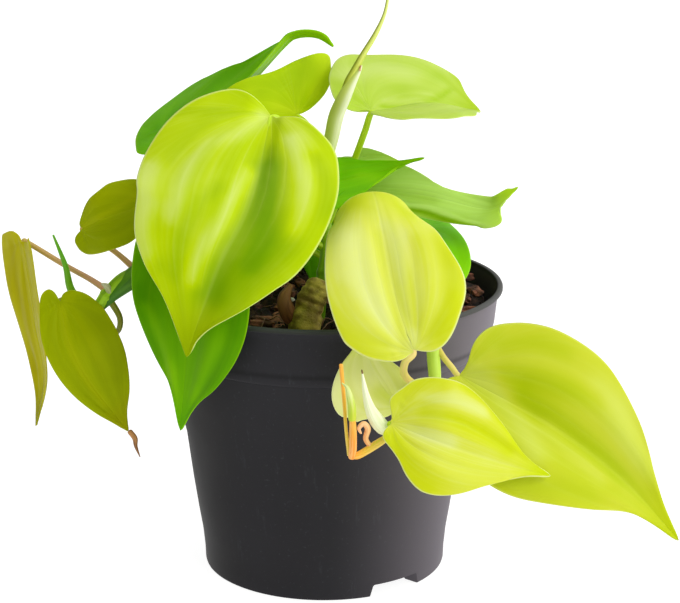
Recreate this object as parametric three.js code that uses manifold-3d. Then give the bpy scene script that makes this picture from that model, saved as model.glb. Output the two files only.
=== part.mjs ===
// Heartleaf philodendron in a 12 cm nursery pot. Millimetres, +Z up.
// The origin is on the pot's axis, on the ground the foot ring stands on.
import * as THREE from 'three';
import { mergeVertices } from 'three/addons/utils/BufferGeometryUtils.js';
import Module from 'manifold-3d';

const wasm = await Module();
wasm.setup();

// pot
const potHeight = 98;
const rimRadius = 60;
const baseRadius = 41.2;
const wall = 1.4;
const potSides = 60;
const footHeight = 4;
const notchAngle = 25;
const firstNotch = -54;
// wall below the ledge: how far it lies beyond the base, at which height
const bodyWall = [[0.2, 5], [0.9, 12], [2.2, 20], [3.8, 31], [5.8, 47], [9.2, 62], [13.1, 77.2]];
// soil
const soilTop = 88;
const soilBottom = 6.5;
const soilRelief = 1.6;
const soilBank = 5; // how much higher it lies on the right
const chipCount = 12;
// plant
const bladeThick = 0.8;
const gap = 0.35;
const stalkRadius = 1.0;
const bladeRows = 12;
const bladeColumns = 2;

// ---- small helpers ----
function vec(p) {
  return new THREE.Vector3(p[0], p[1], p[2]);
}

// uniform Catmull-Rom curve through plain arrays of any length
function through(points, t) {
  const n = points.length - 1;
  const s = Math.min(Math.max(t, 0), 1) * n;
  const i = Math.min(Math.floor(s), n - 1);
  const f = s - i;
  const b = points[i];
  const c = points[i + 1];
  const a = i > 0 ? points[i - 1] : b.map((x, k) => 2 * x - c[k]);
  const d = i < n - 1 ? points[i + 2] : c.map((x, k) => 2 * x - b[k]);
  return b.map((x, k) => 0.5 * (2 * x + (c[k] - a[k]) * f + (2 * a[k] - 5 * x + 4 * c[k] - d[k]) * f * f
    + (3 * x - a[k] - 3 * c[k] + d[k]) * f * f * f));
}

function smooth(from, to, x) {
  return THREE.MathUtils.smoothstep(x, from, to);
}

// seeded noise for the soil
function random(seed) {
  let s = seed;
  return () => {
    s = (s * 16807) % 2147483647;
    return s / 2147483647;
  };
}

function toSolid(geometry) {
  const g = geometry.clone();
  g.deleteAttribute('normal');
  g.deleteAttribute('uv');
  const m = mergeVertices(g, 1e-4);
  return new wasm.Manifold(new wasm.Mesh({
    numProp: 3,
    vertProperties: new Float32Array(m.attributes.position.array),
    triVerts: new Uint32Array(m.index.array),
  }));
}

function toGeometry(solid) {
  const mesh = solid.getMesh();
  const g = new THREE.BufferGeometry();
  g.setAttribute('position', new THREE.BufferAttribute(new Float32Array(mesh.vertProperties), 3));
  g.setIndex(new THREE.BufferAttribute(new Uint32Array(mesh.triVerts), 1));
  g.computeVertexNormals();
  return g;
}

function fromLists(points, faces) {
  const g = new THREE.BufferGeometry();
  g.setAttribute('position', new THREE.Float32BufferAttribute(points.flat(), 3));
  g.setIndex(faces.flat());
  return g;
}

// round bar along a curve, its radius running through the given radii, flat at both ends
function bar(points, radii, rings, sides, extra = 0) {
  const pts = [];
  const faces = [];
  const near = (t) => vec(through(points, Math.min(Math.max(t, 0), 1)));
  const tangent = (t) => near(t + 0.01).sub(near(t - 0.01)).normalize();
  let side = new THREE.Vector3(0.31, 0.95, 0.05);
  for (let i = 0; i <= rings; i++) {
    const t = i / rings;
    const dir = tangent(t);
    side = side.clone().addScaledVector(dir, -side.dot(dir)).normalize();
    const other = dir.clone().cross(side);
    const centre = vec(through(points, t));
    if (extra && i === 0) centre.addScaledVector(dir, -extra);
    if (extra && i === rings) centre.addScaledVector(dir, extra);
    const r = through(radii.map((x) => [x]), t)[0] + extra;
    for (let k = 0; k < sides; k++) {
      const a = (2 * Math.PI * k) / sides;
      const point = centre.clone().addScaledVector(side, r * Math.cos(a));
      pts.push(point.addScaledVector(other, r * Math.sin(a)).toArray());
    }
  }
  for (let i = 0; i < rings; i++) {
    for (let k = 0; k < sides; k++) {
      const a = i * sides + k;
      const b = i * sides + ((k + 1) % sides);
      faces.push([a, b, b + sides], [a, b + sides, a + sides]);
    }
  }
  for (let k = 1; k < sides - 1; k++) {
    faces.push([0, k + 1, k]);
    const e = rings * sides;
    faces.push([e, e + k, e + k + 1]);
  }
  return fromLists(pts, faces);
}

// ---- heart-shaped leaf blade ----
// half outline: along the midrib (0 at the sinus, 1 at the tip) and across it (1 at the widest place)
const halfOutline = [
  [0, 0], [-0.075, 0.13], [-0.135, 0.36], [-0.11, 0.64], [0, 0.86], [0.16, 0.985],
  [0.36, 0.985], [0.55, 0.84], [0.72, 0.57], [0.86, 0.25], [1, 0],
];

// one margin point: lobe scales the part behind the sinus, hip moves the widest place, lean sweeps the half
function marginPoint(u, lobe, hip, lean) {
  const p = through(halfOutline, u);
  const inside = Math.min(Math.max(p[0], 0), 1);
  const along = p[0] < 0 ? p[0] * lobe : p[0] + hip * inside * (1 - inside) * 2.2;
  return [along - lean * p[1] * (1 - u ** 3), p[1]];
}

// trim moves a margin along and across, in hundredths, at six places from sinus to tip
const trimAt = [0.12, 0.28, 0.44, 0.6, 0.76, 0.9];

function trimmed(u, m, trim) {
  if (!trim || !trim.length) return m;
  const ends = smooth(0, 0.06, u) * (1 - smooth(0.94, 1, u)) / 100;
  return m.map((x, axis) => trimAt.reduce(
    (sum, at, k) => sum + trim[2 * k + axis] * Math.exp(-(((u - at) / 0.1) ** 2)) * ends, x,
  ));
}

// points of the blade's middle surface; side 0 is the one at rib x face, side 1 the other
function bladeSurface(leaf, rows, columns) {
  const steps = 80;
  const curve = [];
  const run = [0];
  for (let i = 0; i <= steps; i++) {
    curve.push(vec(through(leaf.rib, i / steps)));
    if (i) run.push(run[i - 1] + curve[i].distanceTo(curve[i - 1]));
  }
  const length = run[steps];
  const ribAt = (x) => {
    const s = Math.min(Math.max(x, 0), 1) * length;
    let i = 1;
    while (i < steps && run[i] < s) i++;
    const f = (s - run[i - 1]) / (run[i] - run[i - 1]);
    const point = curve[i - 1].clone().lerp(curve[i], f);
    const slope = (j) => curve[Math.min(j + 1, steps)].clone().sub(curve[Math.max(j - 1, 0)]);
    const dir = slope(i - 1).lerp(slope(i), f).normalize();
    return { point, dir };
  };
  const faces = leaf.face.map((f) => vec(f).normalize().toArray());
  const grid = [];
  for (let i = 0; i <= rows; i++) {
    const u = i / rows;
    const line = [];
    for (let j = -columns; j <= columns; j++) {
      const v = j / columns;
      const side = v >= 0 ? 0 : 1;
      const plain = marginPoint(u, leaf.lobe[side], leaf.hip[side], leaf.lean[side]);
      const m = trimmed(u, plain, leaf.trim?.[side]);
      const along = u * (1 - Math.abs(v)) + m[0] * Math.abs(v);
      const across = m[1] * Math.abs(v);
      const soft = (leaf.bend ?? 0.12) * smooth(0, 0.2, across);
      const front = (along + Math.hypot(along, soft)) / 2;
      const { point, dir } = ribAt(front);
      const up = vec(through(faces, Math.min(Math.max(along, 0), 1)));
      up.addScaledVector(dir, -up.dot(dir)).normalize();
      const sideways = up.clone().cross(dir).multiplyScalar(v >= 0 ? 1 : -1);
      const rolled = leaf.roll ? smooth(0.5, 0.78, along) : 0;
      const fold = THREE.MathUtils.degToRad(leaf.fold[side] * (1 - rolled));
      const curl = THREE.MathUtils.degToRad((leaf.curl[side] || 0.01) - (rolled && leaf.roll[side] * rolled));
      const w = leaf.wide[side];
      const out = (w / curl) * (Math.sin(fold + curl * across) - Math.sin(fold));
      const lift = (-w / curl) * (Math.cos(fold + curl * across) - Math.cos(fold));
      const behind = (along - front) * length;
      const drop = THREE.MathUtils.degToRad(leaf.drop[side]);
      point.addScaledVector(dir, behind * Math.cos(drop));
      point.addScaledVector(up, behind * Math.sin(drop) + lift);
      line.push(point.addScaledVector(sideways, out));
    }
    grid.push(line);
  }
  return grid;
}

function blade(leaf) {
  const rows = bladeRows;
  const wide = 2 * bladeColumns + 1;
  const grid = bladeSurface(leaf, rows, bladeColumns);
  const top = [];
  const bottom = [];
  for (let i = 0; i <= rows; i++) {
    for (let j = 0; j < wide; j++) {
      const a = grid[Math.min(i + 1, rows)][j].clone().sub(grid[Math.max(i - 1, 0)][j]);
      const ends = i === 0 ? grid[1] : i === rows ? grid[rows - 1] : grid[i];
      const b = ends[Math.min(j + 1, wide - 1)].clone().sub(ends[Math.max(j - 1, 0)]);
      const n = a.cross(b).normalize().multiplyScalar(-bladeThick / 2);
      top.push(grid[i][j].clone().sub(n));
      bottom.push(grid[i][j].clone().add(n));
    }
  }
  const middle = bladeColumns;
  for (const layer of [top, bottom]) {
    for (const i of [0, rows]) {
      for (let j = 0; j < wide; j++) layer[i * wide + j] = layer[i * wide + middle];
    }
  }
  const points = [...top, ...bottom].map((p) => p.toArray());
  const faces = [];
  const under = (rows + 1) * wide;
  const add = (a, b, c, flip) => faces.push(flip ? [c + under, b + under, a + under] : [a, b, c]);
  for (const flip of [false, true]) {
    for (let i = 0; i < rows; i++) {
      for (let j = 0; j < wide - 1; j++) {
        const a = i * wide + j;
        const left = j < middle;
        const quad = left ? [[a, a + wide, a + 1], [a + 1, a + wide, a + wide + 1]]
          : [[a, a + wide, a + wide + 1], [a, a + wide + 1, a + 1]];
        for (const [p, q, r] of quad) add(p, q, r, flip);
      }
    }
  }
  for (let i = 0; i < rows; i++) {
    const a = i * wide;
    faces.push([a, a + under, a + wide + under], [a, a + wide + under, a + wide]);
    const b = a + wide - 1;
    faces.push([b, b + wide, b + wide + under], [b, b + wide + under, b + under]);
  }
  return withoutSlivers(points, faces);
}

// merges the rows that meet in one point and drops the faces that vanish there
function withoutSlivers(points, faces) {
  const g = mergeVertices(fromLists(points, faces), 1e-4);
  const index = g.index.array;
  const kept = [];
  for (let i = 0; i < index.length; i += 3) {
    const [a, b, c] = [index[i], index[i + 1], index[i + 2]];
    if (a !== b && b !== c && c !== a) kept.push(a, b, c);
  }
  g.setIndex(kept);
  return g;
}

// ---- what the leaves are ----
// rib: midrib from sinus to tip. stalk: leafstalk from the sinus to the middle of its stem. face: the upper
// side's direction along the rib. wide, fold, curl, drop, lobe, hip, lean, roll, trim: one for each half.
const leaves = {
  leaf_front_large: {
    rib: [[-16.5, -20, 157.5], [-23, -50, 135], [-32, -62, 118], [-41.5, -66, 91]],
    stalk: [[-16.5, -20, 157.5], [-12.5, -10, 153], [-6, -3, 140], [0.5, 0, 126]],
    on: 'stem_tall', face: [[-0.1, -0.8, 0.6], [-0.1, -0.8, 0.6]], wide: [26.5, 38], fold: [10, 10],
    curl: [-25, -25], drop: [-24, -16], bend: 0.2, lobe: [0.7, 0.9], hip: [0.06, 0.05], lean: [-0.16, -0.05],
    look: 'lime',
    trim: [[6, 4, 8, 12, 4, 4, -6, 0, -4, 0, 0, -10], [2, -2, 4, 0, 4, 4, 6, -4, 0, 0, -4, 6]],
  },
  leaf_top_middle: {
    rib: [[-9, 6, 153.5], [-24, -4, 156], [-38.5, -8, 151]],
    stalk: [[-9, 6, 153.5], [-5, 9, 149], [-1.5, 8, 141], [0, 2, 132]],
    on: 'stem_tall', face: [[0.1, -0.8, 0.6], [0.1, -0.8, 0.6]],
    wide: [16, 22.5], fold: [-15, 10], curl: [-20, -10],
    drop: [0, 0], lobe: [1, 0.8], hip: [-0.25, -0.25], lean: [0, 0.6], look: 'lime',
    trim: [[], [-2, -4, 0, -10, -6, 6, -12, 4, -10, -4, 6, 10]],
  },
  leaf_top_left: {
    rib: [[-50.5, 4, 141.5], [-28, 14, 160], [-13.5, 18, 175], [-9, 18, 178.5], [-2, 17, 178.5],
      [3.5, 16, 175]],
    stalk: [[-50.5, 4, 141.5], [-46, 9, 134], [-25, 10, 124], [0.5, -1, 118]],
    on: 'stem_tall', face: [[-0.6, -0.5, 0.8], [-0.5, -0.4, 0.8], [0, -0.05, 1]], wide: [27, 12],
    fold: [0, 40], curl: [-10, -10], drop: [-20, -20], lobe: [0.8, 1], hip: [-0.15, -0.15], lean: [0, 0],
    look: 'green',
    trim: [[-4, 6, 2, 0, 0, 8, 4, 26, -4, 2, 0, 12], [0, 0, 0, 0, 0, 0, 0, 0, 0, 0, 0, 8]],
  },
  leaf_top_right: {
    rib: [[15.5, 0, 155.5], [34, 12, 156.5], [53, 20, 152]],
    stalk: [[15.5, 0, 155.5], [13.5, 1, 148.5], [9.5, 2, 137.5], [0.7, -1.5, 117]],
    on: 'stem_tall', face: [[0, 0, 1], [0, 0, 1]], wide: [30, 18], fold: [35, 5], curl: [-15, -20],
    drop: [0, 0], lobe: [1.5, 0.2], hip: [0.35, 0.1], lean: [0, 0], look: 'pale',
    trim: [[-6, -4, 4, 0, 8, 8, -12, -4, 6, -6, -4, 0], [-2, 0, 0, -4, 6, -2, 10, 14, 8, 6, 2, 0]],
  },
  leaf_middle_dark: {
    rib: [[-12.5, -12, 132], [8.5, -10, 135], [23.5, -6, 138.5], [33.5, -4, 141]],
    stalk: [[-12.5, -12, 132], [-15, -10, 128], [-10, -5, 118], [1, -4, 110]],
    on: 'stem_tall', face: [[0, -0.7, 0.7], [0, -0.7, 0.7]], wide: [8, 20], fold: [10, 10], curl: [-10, -10],
    drop: [0, 0], lobe: [1, 1], hip: [0, 0], lean: [0, 0], look: 'green',
    trim: [[0, 0, 0, 0, 0, 0, 6, 12, -6, -4, -8, 6], [0, 0, 0, 0, 0, 0, -28, -26, -10, -32, -8, -18]],
  },
  leaf_middle_right: {
    rib: [[13, 1, 129.5], [32.5, -8, 129.2], [49.5, -14, 126.5], [56.5, -18, 128], [63, -18, 134.5]],
    stalk: [[13, 1, 129.5], [11.5, 4.5, 127], [9.5, 4, 118], [1, -7, 102]],
    on: 'stem_tall', face: [[0, -0.5, 0.85], [0, -0.5, 0.85]],
    wide: [10, 9], fold: [25, -10], curl: [-10, -30],
    drop: [0, 0], lobe: [0.8, 0.6], hip: [-0.45, 0.15], lean: [0, 0], look: 'pale',
    trim: [[8, -2, 10, -20, 2, -2, 4, 12, -2, -22, 12, 16], [0, 0, 2, 0, 2, 2, 24, -20, 8, 16, -6, -26]],
  },
  leaf_front_middle: {
    rib: [[27.5, -76, 96], [22.5, -68, 110], [19, -52, 125], [16, -34, 135.5], [15, -20, 128.5]],
    stalk: [[27.5, -76, 96], [25, -76, 93], [25, -74, 88.5], [29, -71, 85.5], [34, -68.5, 86]],
    on: 'stem_right', face: [[0, -0.8, 0.5], [0, -0.75, 0.6], [0, -0.4, 0.9], [0, -0.05, 1]],
    wide: [24.5, 19.5], roll: [88, 66], fold: [8, 8], curl: [-20, -20], drop: [-10, -10], lobe: [0.3, 0.9],
    hip: [0.15, 0.1], lean: [-0.2, -0.12], look: 'yellow',
    trim: [[-2, 8, -4, -2, -4, -8, 2, -28, 6, 4, -8, 0], [6, -12, 4, 2, 6, 22, 6, -16, 12, -12, -2, -6]],
  },
  leaf_behind_middle: {
    rib: [[25.5, -5, 115.5], [33, -20, 111.5], [37.5, -35, 97.5]],
    stalk: [[25.5, -5, 115.5], [23, 2, 114], [19, 2, 104], [12, -8, 95]],
    on: 'stem_right', face: [[0.2, -0.7, 0.7], [0.2, -0.7, 0.7]],
    wide: [18, 20], fold: [8, 8], curl: [-20, -20],
    drop: [0, 0], lobe: [1, 1], hip: [0, 0], lean: [0, 0], look: 'green',
    trim: [[0, 0, -12, 6, -16, 4, 0, -8, 2, 0, 0, 0], []],
  },
  leaf_front_small: {
    rib: [[23, -70, 77], [16, -68, 87.5], [12, -66, 99]],
    stalk: [[23, -70, 77], [25, -71, 74], [31, -78, 76]],
    on: 'stem_right', face: [[-0.2, -0.9, 0.3], [-0.2, -0.9, 0.3]],
    wide: [18, 8], fold: [8, 8], curl: [-10, -10],
    drop: [0, 0], lobe: [0.3, 0.2], hip: [-0.1, -0.1], lean: [0, 0], look: 'pale',
    trim: [[-2, 4, 14, 6, 14, -16, 6, -6, 0, -2, 0, 0], []],
  },
  leaf_front_low: {
    rib: [[20.5, -92, 79], [34.5, -97, 75], [52.5, -94, 67.5], [68.5, -88, 61]],
    stalk: [[20.5, -92, 79], [20.5, -90.5, 78], [24, -85.5, 74]],
    on: 'stem_right', face: [[-0.1, -0.8, 0.6], [-0.1, -0.8, 0.6]], wide: [18.5, 14.5], fold: [10, 10],
    curl: [-30, -20], drop: [-20, -20], lobe: [1.1, 0.6], hip: [-0.1, -0.2], lean: [0, -0.2], look: 'yellow',
    trim: [[6, 0, 10, 2, 2, 4, 4, 12, 0, 0, -2, -2], [0, 14, 8, 6, 4, 12, -6, 8, -6, -4, -4, -4]],
  },
  leaf_right_large: {
    rib: [[42, -66, 85.5], [69, -75, 73], [92, -77, 55.5], [110, -76, 35]],
    stalk: [[42, -66, 85.5], [39.5, -67, 88.5], [36, -66, 93], [32, -58, 99.5]],
    on: 'stem_right', face: [[0.1, -0.8, 0.6], [0.1, -0.8, 0.6]],
    wide: [27, 25], fold: [15, 15], curl: [-25, -25],
    drop: [-20, -20], lobe: [0.4, 0.4], hip: [-0.18, -0.15], lean: [-0.08, 0], look: 'lime',
    trim: [[2, 2, 0, 4, 4, 4, 4, 4, -4, 6, -4, 0], [0, 0, 0, 0, 0, 0, 4, 10, 0, 4, -4, 0]],
  },
  leaf_left_edge: {
    rib: [[-102.5, 9, 109.5], [-99, 7, 82.5], [-97, 9, 62], [-100.5, 11, 42.5]],
    stalk: [[-102.5, 9, 109.5], [-99.5, 9, 108.5], [-86.5, -2, 104], [-77, -11, 101.5], [-70, -18, 99]],
    on: 'stem_left', face: [[-0.75, -0.6, 0.2], [-0.75, -0.6, 0.2]],
    wide: [9, 11], fold: [15, 10], curl: [0, 0],
    drop: [0, 0], lobe: [0, 0.4], hip: [-0.1, -0.1], lean: [0, 0], look: 'olive',
    trim: [[0, 0, 0, 0, -4, 6, -4, 18, 4, 2, 0, 0], [0, -2, 0, 0, -4, 10, -4, -6, -4, 6, 4, 2]],
  },
  leaf_left: {
    rib: [[-86, -20, 96.5], [-82.5, -26, 83.5], [-76.5, -26, 70.5], [-64.5, -24, 53]],
    stalk: [[-86, -20, 96.5], [-85, -16, 95], [-76, -12, 86], [-69, -14, 84], [-67, -17, 90], [-71, -18, 98]],
    on: 'stem_left', face: [[0.1, -0.9, 0.3], [0.1, -0.9, 0.3]],
    wide: [15, 9], fold: [8, 8], curl: [-10, -10],
    drop: [0, 0], lobe: [0.45, 0.6], hip: [0.1, -0.05], lean: [-0.05, 0], look: 'olive',
    trim: [[-2, -2, 0, -4, 8, 8, 2, 6, 0, 4, 0, 0], [-2, 0, 0, 0, 4, -6, 0, -6, 2, -2, 4, 0]],
  },
  leaf_left_upper: {
    rib: [[-79.5, -8, 118], [-70, -12, 123], [-53.5, -10, 128]],
    stalk: [[-79.5, -8, 118], [-77.5, -5, 115], [-69, -6, 109.5], [-60, -15.5, 104.5]],
    on: 'stem_left', face: [[0.2, -0.8, 0.5], [0.2, -0.8, 0.5]],
    wide: [12, 10.5], fold: [8, 8], curl: [-15, -15],
    drop: [0, 0], lobe: [0.1, 0.8], hip: [0.25, 0.15], lean: [-0.2, 0], look: 'olive',
    trim: [[-4, 0, -2, -8, 8, -14, -6, -8, 2, -2, 0, 0], [-4, 2, 0, 0, 0, 2, 4, 6, 2, 2, 0, 0]],
  },
  leaf_front_left: {
    rib: [[-45, -38, 126.5], [-42, -52, 99.5], [-45, -52, 62.5]],
    stalk: [[-45, -38, 126.5], [-43, -34, 127], [-40, -24, 118], [-45, -11, 98]],
    on: 'stem_left', face: [[-0.3, -0.85, 0.3], [-0.3, -0.85, 0.3]],
    wide: [21, 17.5], fold: [8, 8], curl: [-10, -10],
    drop: [0, 0], lobe: [0.8, 0.8], hip: [0.08, -0.12], lean: [0, 0], look: 'green',
    trim: [[0, 0, 0, 0, 0, 0, 2, 4, 0, -4, -4, 2], [0, 0, 2, -2, 4, 0, 0, 4, 0, 4, -4, 0]],
  },
  leaf_centre_low: {
    rib: [[3.5, 25, 120.5], [0.5, 15, 108.5], [-3.5, 5, 94]],
    stalk: [[3.5, 25, 120.5], [4.5, 28.5, 120], [3.5, 30.5, 110], [1, 29, 95], [0, 27, 82]],
    on: 'soil', face: [[0, -0.8, 0.5], [0, -0.8, 0.5]], wide: [14, 14], fold: [8, 8], curl: [-10, -10],
    drop: [0, 0], lobe: [1, 1], hip: [0, 0], lean: [0, 0], look: 'green',
  },
  leaf_centre_high: {
    rib: [[4, 17, 131], [13, 20, 135], [21, 22, 135.5], [27.5, 23, 134]],
    stalk: [[4, 17, 131], [1.5, 15, 129.5], [-1, 9, 127], [0.3, 1, 128]],
    on: 'stem_tall', face: [[0, -0.7, 0.7], [0, -0.7, 0.7]], wide: [8, 9], fold: [8, 8], curl: [-10, -10],
    drop: [0, 0], lobe: [1, 1], hip: [0, 0], lean: [0, 0], look: 'pale',
    trim: [[0, 0, 0, 0, -4, -6, 2, -74, -20, 4, -4, -16], []],
  },
  leaf_back_high: {
    rib: [[-15, 22, 138], [-19, 46, 128], [-22, 61, 102]],
    stalk: [[-15, 22, 138], [-12, 18, 137], [-7, 8, 134], [0.2, 1.5, 130]],
    on: 'stem_tall', face: [[0, 0.7, 0.7], [0, 0.7, 0.7]], wide: [20, 20], fold: [10, 10], curl: [-20, -20],
    drop: [0, 0], lobe: [1, 1], hip: [0, 0], lean: [0, 0], look: 'lime',
  },
  leaf_back_left: {
    rib: [[-34, 22, 128], [-44, 44, 116], [-48, 60, 88]],
    stalk: [[-34, 22, 128], [-30, 17, 126], [-14, 4, 114], [1, -5, 107]],
    on: 'stem_tall', face: [[-0.2, 0.7, 0.6], [-0.2, 0.7, 0.6]],
    wide: [17, 17], fold: [10, 10], curl: [-20, -20],
    drop: [0, 0], lobe: [1, 1], hip: [0, 0], lean: [0, 0], look: 'green',
  },
  leaf_back_right: {
    rib: [[24, 30, 116], [32, 50, 102], [36, 64, 78]],
    stalk: [[24, 30, 116], [21, 25, 115], [14, 10, 104], [11, -4, 92]],
    on: 'stem_right', face: [[0.3, 0.7, 0.6], [0.3, 0.7, 0.6]],
    wide: [15, 15], fold: [10, 10], curl: [-20, -20],
    drop: [0, 0], lobe: [1, 1], hip: [0, 0], lean: [0, 0], look: 'lime',
  },
  leaf_back_low: {
    rib: [[4, 60, 107], [2, 89, 93], [0, 104.5, 59]],
    stalk: [[4, 60, 107], [4.5, 56, 108], [6, 46, 101], [6.5, 37, 82]],
    on: 'soil', face: [[0, 0.7, 0.6], [0, 0.7, 0.6]], wide: [19, 19], fold: [10, 10], curl: [-20, -20],
    drop: [0, 0], lobe: [1, 1], hip: [0, 0], lean: [0, 0], look: 'pale',
  },
};

// ---- stems and small pieces ----
const stems = {
  stem_woody: {
    path: [[-6.5, -25, 76], [-6, -25, 90], [-4, -23, 97], [-2, -21, 102]],
    radii: [5, 5.2, 4.9, 4.2], rings: 5, sides: 12, look: 'wood',
  },
  stem_tall: {
    path: [[-3, -11, 76], [-1, -10, 97], [1, -4, 110], [0.5, 0, 122], [0, 2, 136]],
    radii: [2.4, 2.1, 1.9], rings: 8, sides: 8, look: 'stem',
  },
  stem_right: {
    path: [[9, 4, 76], [12, -8, 95], [20, -30, 104], [28, -50, 104], [33, -62, 98], [34, -67, 90],
      [34, -70, 83], [31, -78, 76], [24, -85, 74], [20.5, -88, 75]],
    radii: [2.4, 2.3, 2.2, 2], rings: 18, sides: 8, look: 'stem',
  },
  stem_left: {
    path: [[-37, -7, 76], [-42, -10, 94], [-54, -14, 104.5], [-64, -17, 104], [-71, -18, 98], [-75, -17, 92],
      [-77.5, -9.5, 90.5]],
    radii: [2.3, 2.3, 2.1, 1.2], rings: 14, sides: 8, look: 'stem',
  },
};

const small = {
  new_leaf: {
    path: [[0.5, 1, 136.5], [1.8, -0.6, 144.2], [3.8, -3.2, 153.6], [7, -4.8, 161.8], [11, -4.4, 170.4],
      [15, -3.6, 178.6], [19.5, -3, 187.2], [21.4, -3, 200]],
    radii: [1.9, 2.3, 2.5, 2.2, 1.4, 0.9, 0.7, 0.55], rings: 16, sides: 8, on: 'stem_tall', look: 'cream',
  },
  bud_left: {
    path: [[-78, -8.5, 90.5], [-81, -8, 92.5], [-84, -9, 98], [-85.5, -9, 106], [-89, -9, 116]],
    radii: [1.1, 1.5, 1.3, 0.9, 0.45], rings: 9, sides: 8, on: 'stem_left', look: 'stem',
  },
  stalk_dried: {
    path: [[19.8, -88.8, 73.6], [17, -89.8, 72.3], [13.1, -91, 70.1], [9.6, -92, 69], [8.4, -91.8, 77],
      [6.8, -89.4, 86], [5.8, -86.2, 95]],
    radii: [0.8, 1.1, 1.2, 1.3, 1.1, 0.8, 0.7], rings: 15, sides: 8, on: 'stem_right', look: 'dried',
  },
  sheath_cream: {
    path: [[20, -87.5, 77], [17.5, -87.5, 80], [14, -86, 86], [12, -84, 94]],
    radii: [1, 2.1, 1.6, 0.5], rings: 8, sides: 8, on: 'stem_right', look: 'cream',
  },
};

// colour, roughness
const looks = {
  lime: [0xa6cc0c, 0.42],
  yellow: [0xcfdc4a, 0.42],
  pale: [0xb5d75a, 0.45],
  green: [0x4f9f12, 0.4],
  olive: [0x97a005, 0.45],
  stem: [0x86a23a, 0.55],
  wood: [0x645520, 0.8],
  cream: [0xdfe6b8, 0.55],
  dried: [0xd9923c, 0.7],
  soil: [0x2a1c14, 1],
  pot: [0x3a393d, 0.5],
};

// ---- pot ----
function bodyRadius(z) {
  const k = bodyWall.findIndex(([, h]) => z <= h);
  const [[r0, h0], [r1, h1]] = [bodyWall[k - 1], bodyWall[k]];
  return baseRadius + r0 + ((r1 - r0) * (z - h0)) / (h1 - h0);
}

function potSolid() {
  const rim = rimRadius;
  const base = baseRadius;
  const h = potHeight;
  const foot = footHeight;
  const outline = [
    [0, foot], [base - 6.4, foot], [base - 5.9, foot - 0.4], [base - 5.7, 0.3], [base - 5.4, 0],
    [base - 1.4, 0], [base - 0.5, 0.2], [base - 0.1, 0.8], ...bodyWall.map(([r, z]) => [base + r, z]),
    [rim - 5.5, 77.9], [rim - 4.8, 78.2], [rim - 4.4, 78.8], [rim - 4.1, 80], [rim - 2.6, 86],
    [rim - 1.8, h - 4.5], [rim - 1.2, h - 1.9], [rim - 0.3, h - 1.5], [rim, h - 1.1], [rim, h - 0.5],
    [rim - 0.5, h], [rim - 1.5, h], [rim - 2, h - 0.7], [rim - 2.6, h - 4], [rim - 3.8, h - 10],
    ...bodyWall.slice(1).reverse().map(([r, z]) => [base + r - wall, z]),
    [base + 0.6 - wall, 9], [base - 3.5, foot + wall + 0.6], [base - 6, foot + wall], [0, foot + wall],
  ].map(([x, y]) => new THREE.Vector2(x, y));
  const turned = new THREE.LatheGeometry(outline, potSides);
  turned.rotateX(Math.PI / 2);
  let pot = toSolid(turned);
  for (const turn of [0, 180]) {
    pot = pot.subtract(sector(base + 4, firstNotch + turn - notchAngle / 2, notchAngle, -1, foot - 0.4));
  }
  return pot;
}

// wedge about the Z axis from angle start over sweep degrees, between heights low and high
function sector(radius, start, sweep, low, high) {
  const shape = new THREE.Shape();
  shape.moveTo(0, 0);
  for (let i = 0; i <= 6; i++) {
    const a = THREE.MathUtils.degToRad(start + (sweep * i) / 6);
    shape.lineTo(radius * Math.cos(a), radius * Math.sin(a));
  }
  shape.closePath();
  const wedge = new THREE.ExtrudeGeometry(shape, { depth: high - low, bevelEnabled: false });
  wedge.translate(0, 0, low);
  return toSolid(wedge);
}

// ---- soil ----
function soilHeight(x, y) {
  const bank = soilBank * smooth(20, 45, x) * smooth(-25, 10, y);
  return soilTop + bank + soilRelief * (Math.sin(x * 0.21 + 1.3) * Math.cos(y * 0.17 + 0.4) * 0.6
    + Math.sin(x * 0.53 + y * 0.41) * 0.25 + Math.cos(x * 0.37 - y * 0.61 + 2) * 0.25);
}

function soilSolid(cutters) {
  const around = 24;
  const side = (z) => [bodyRadius(z) - wall - gap - 0.1, z];
  const profile = [
    [0, soilBottom], [baseRadius - 7, soilBottom], [baseRadius - 3, 8.5], side(14), side(31), side(47),
    side(62), side(77), [54.4, soilTop - 3], [52.5, soilTop], [43, soilTop], [32, soilTop], [20, soilTop],
    [9, soilTop], [0, soilTop],
  ].map(([x, y]) => new THREE.Vector2(x, y));
  const fill = new THREE.LatheGeometry(profile, around);
  fill.rotateX(Math.PI / 2);
  const p = fill.attributes.position;
  for (let i = 0; i < p.count; i++) {
    if (p.getZ(i) > soilTop - 0.01) p.setZ(i, soilHeight(p.getX(i), p.getY(i)));
  }
  let soil = toSolid(fill);
  const rnd = random(71);
  for (let i = 0; i < chipCount; i++) {
    const a = rnd() * Math.PI * 2;
    const r = 14 + rnd() * 34;
    const [x, y] = [r * Math.cos(a), r * Math.sin(a)];
    const chip = new THREE.BoxGeometry(5 + rnd() * 4, 3 + rnd() * 2, 2.2);
    chip.rotateX(rnd() * 0.7 - 0.35);
    chip.rotateZ(rnd() * Math.PI);
    chip.translate(x, y, soilHeight(x, y) + 0.4);
    soil = soil.add(toSolid(chip));
  }
  for (const cutter of cutters) soil = soil.subtract(cutter);
  return biggest(soil);
}

// the largest separate piece
function biggest(solid) {
  const parts = solid.decompose();
  return parts.sort((a, b) => b.volume() - a.volume())[0];
}

// ---- assembly ----
const plant = new THREE.Group();
plant.name = 'potted_philodendron';

function place(name, solid, look) {
  const [color, roughness] = looks[look];
  const material = new THREE.MeshStandardMaterial({ color, roughness, metalness: 0 });
  material.name = look;
  const mesh = new THREE.Mesh(toGeometry(solid), material);
  mesh.name = name;
  plant.add(mesh);
}

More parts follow.
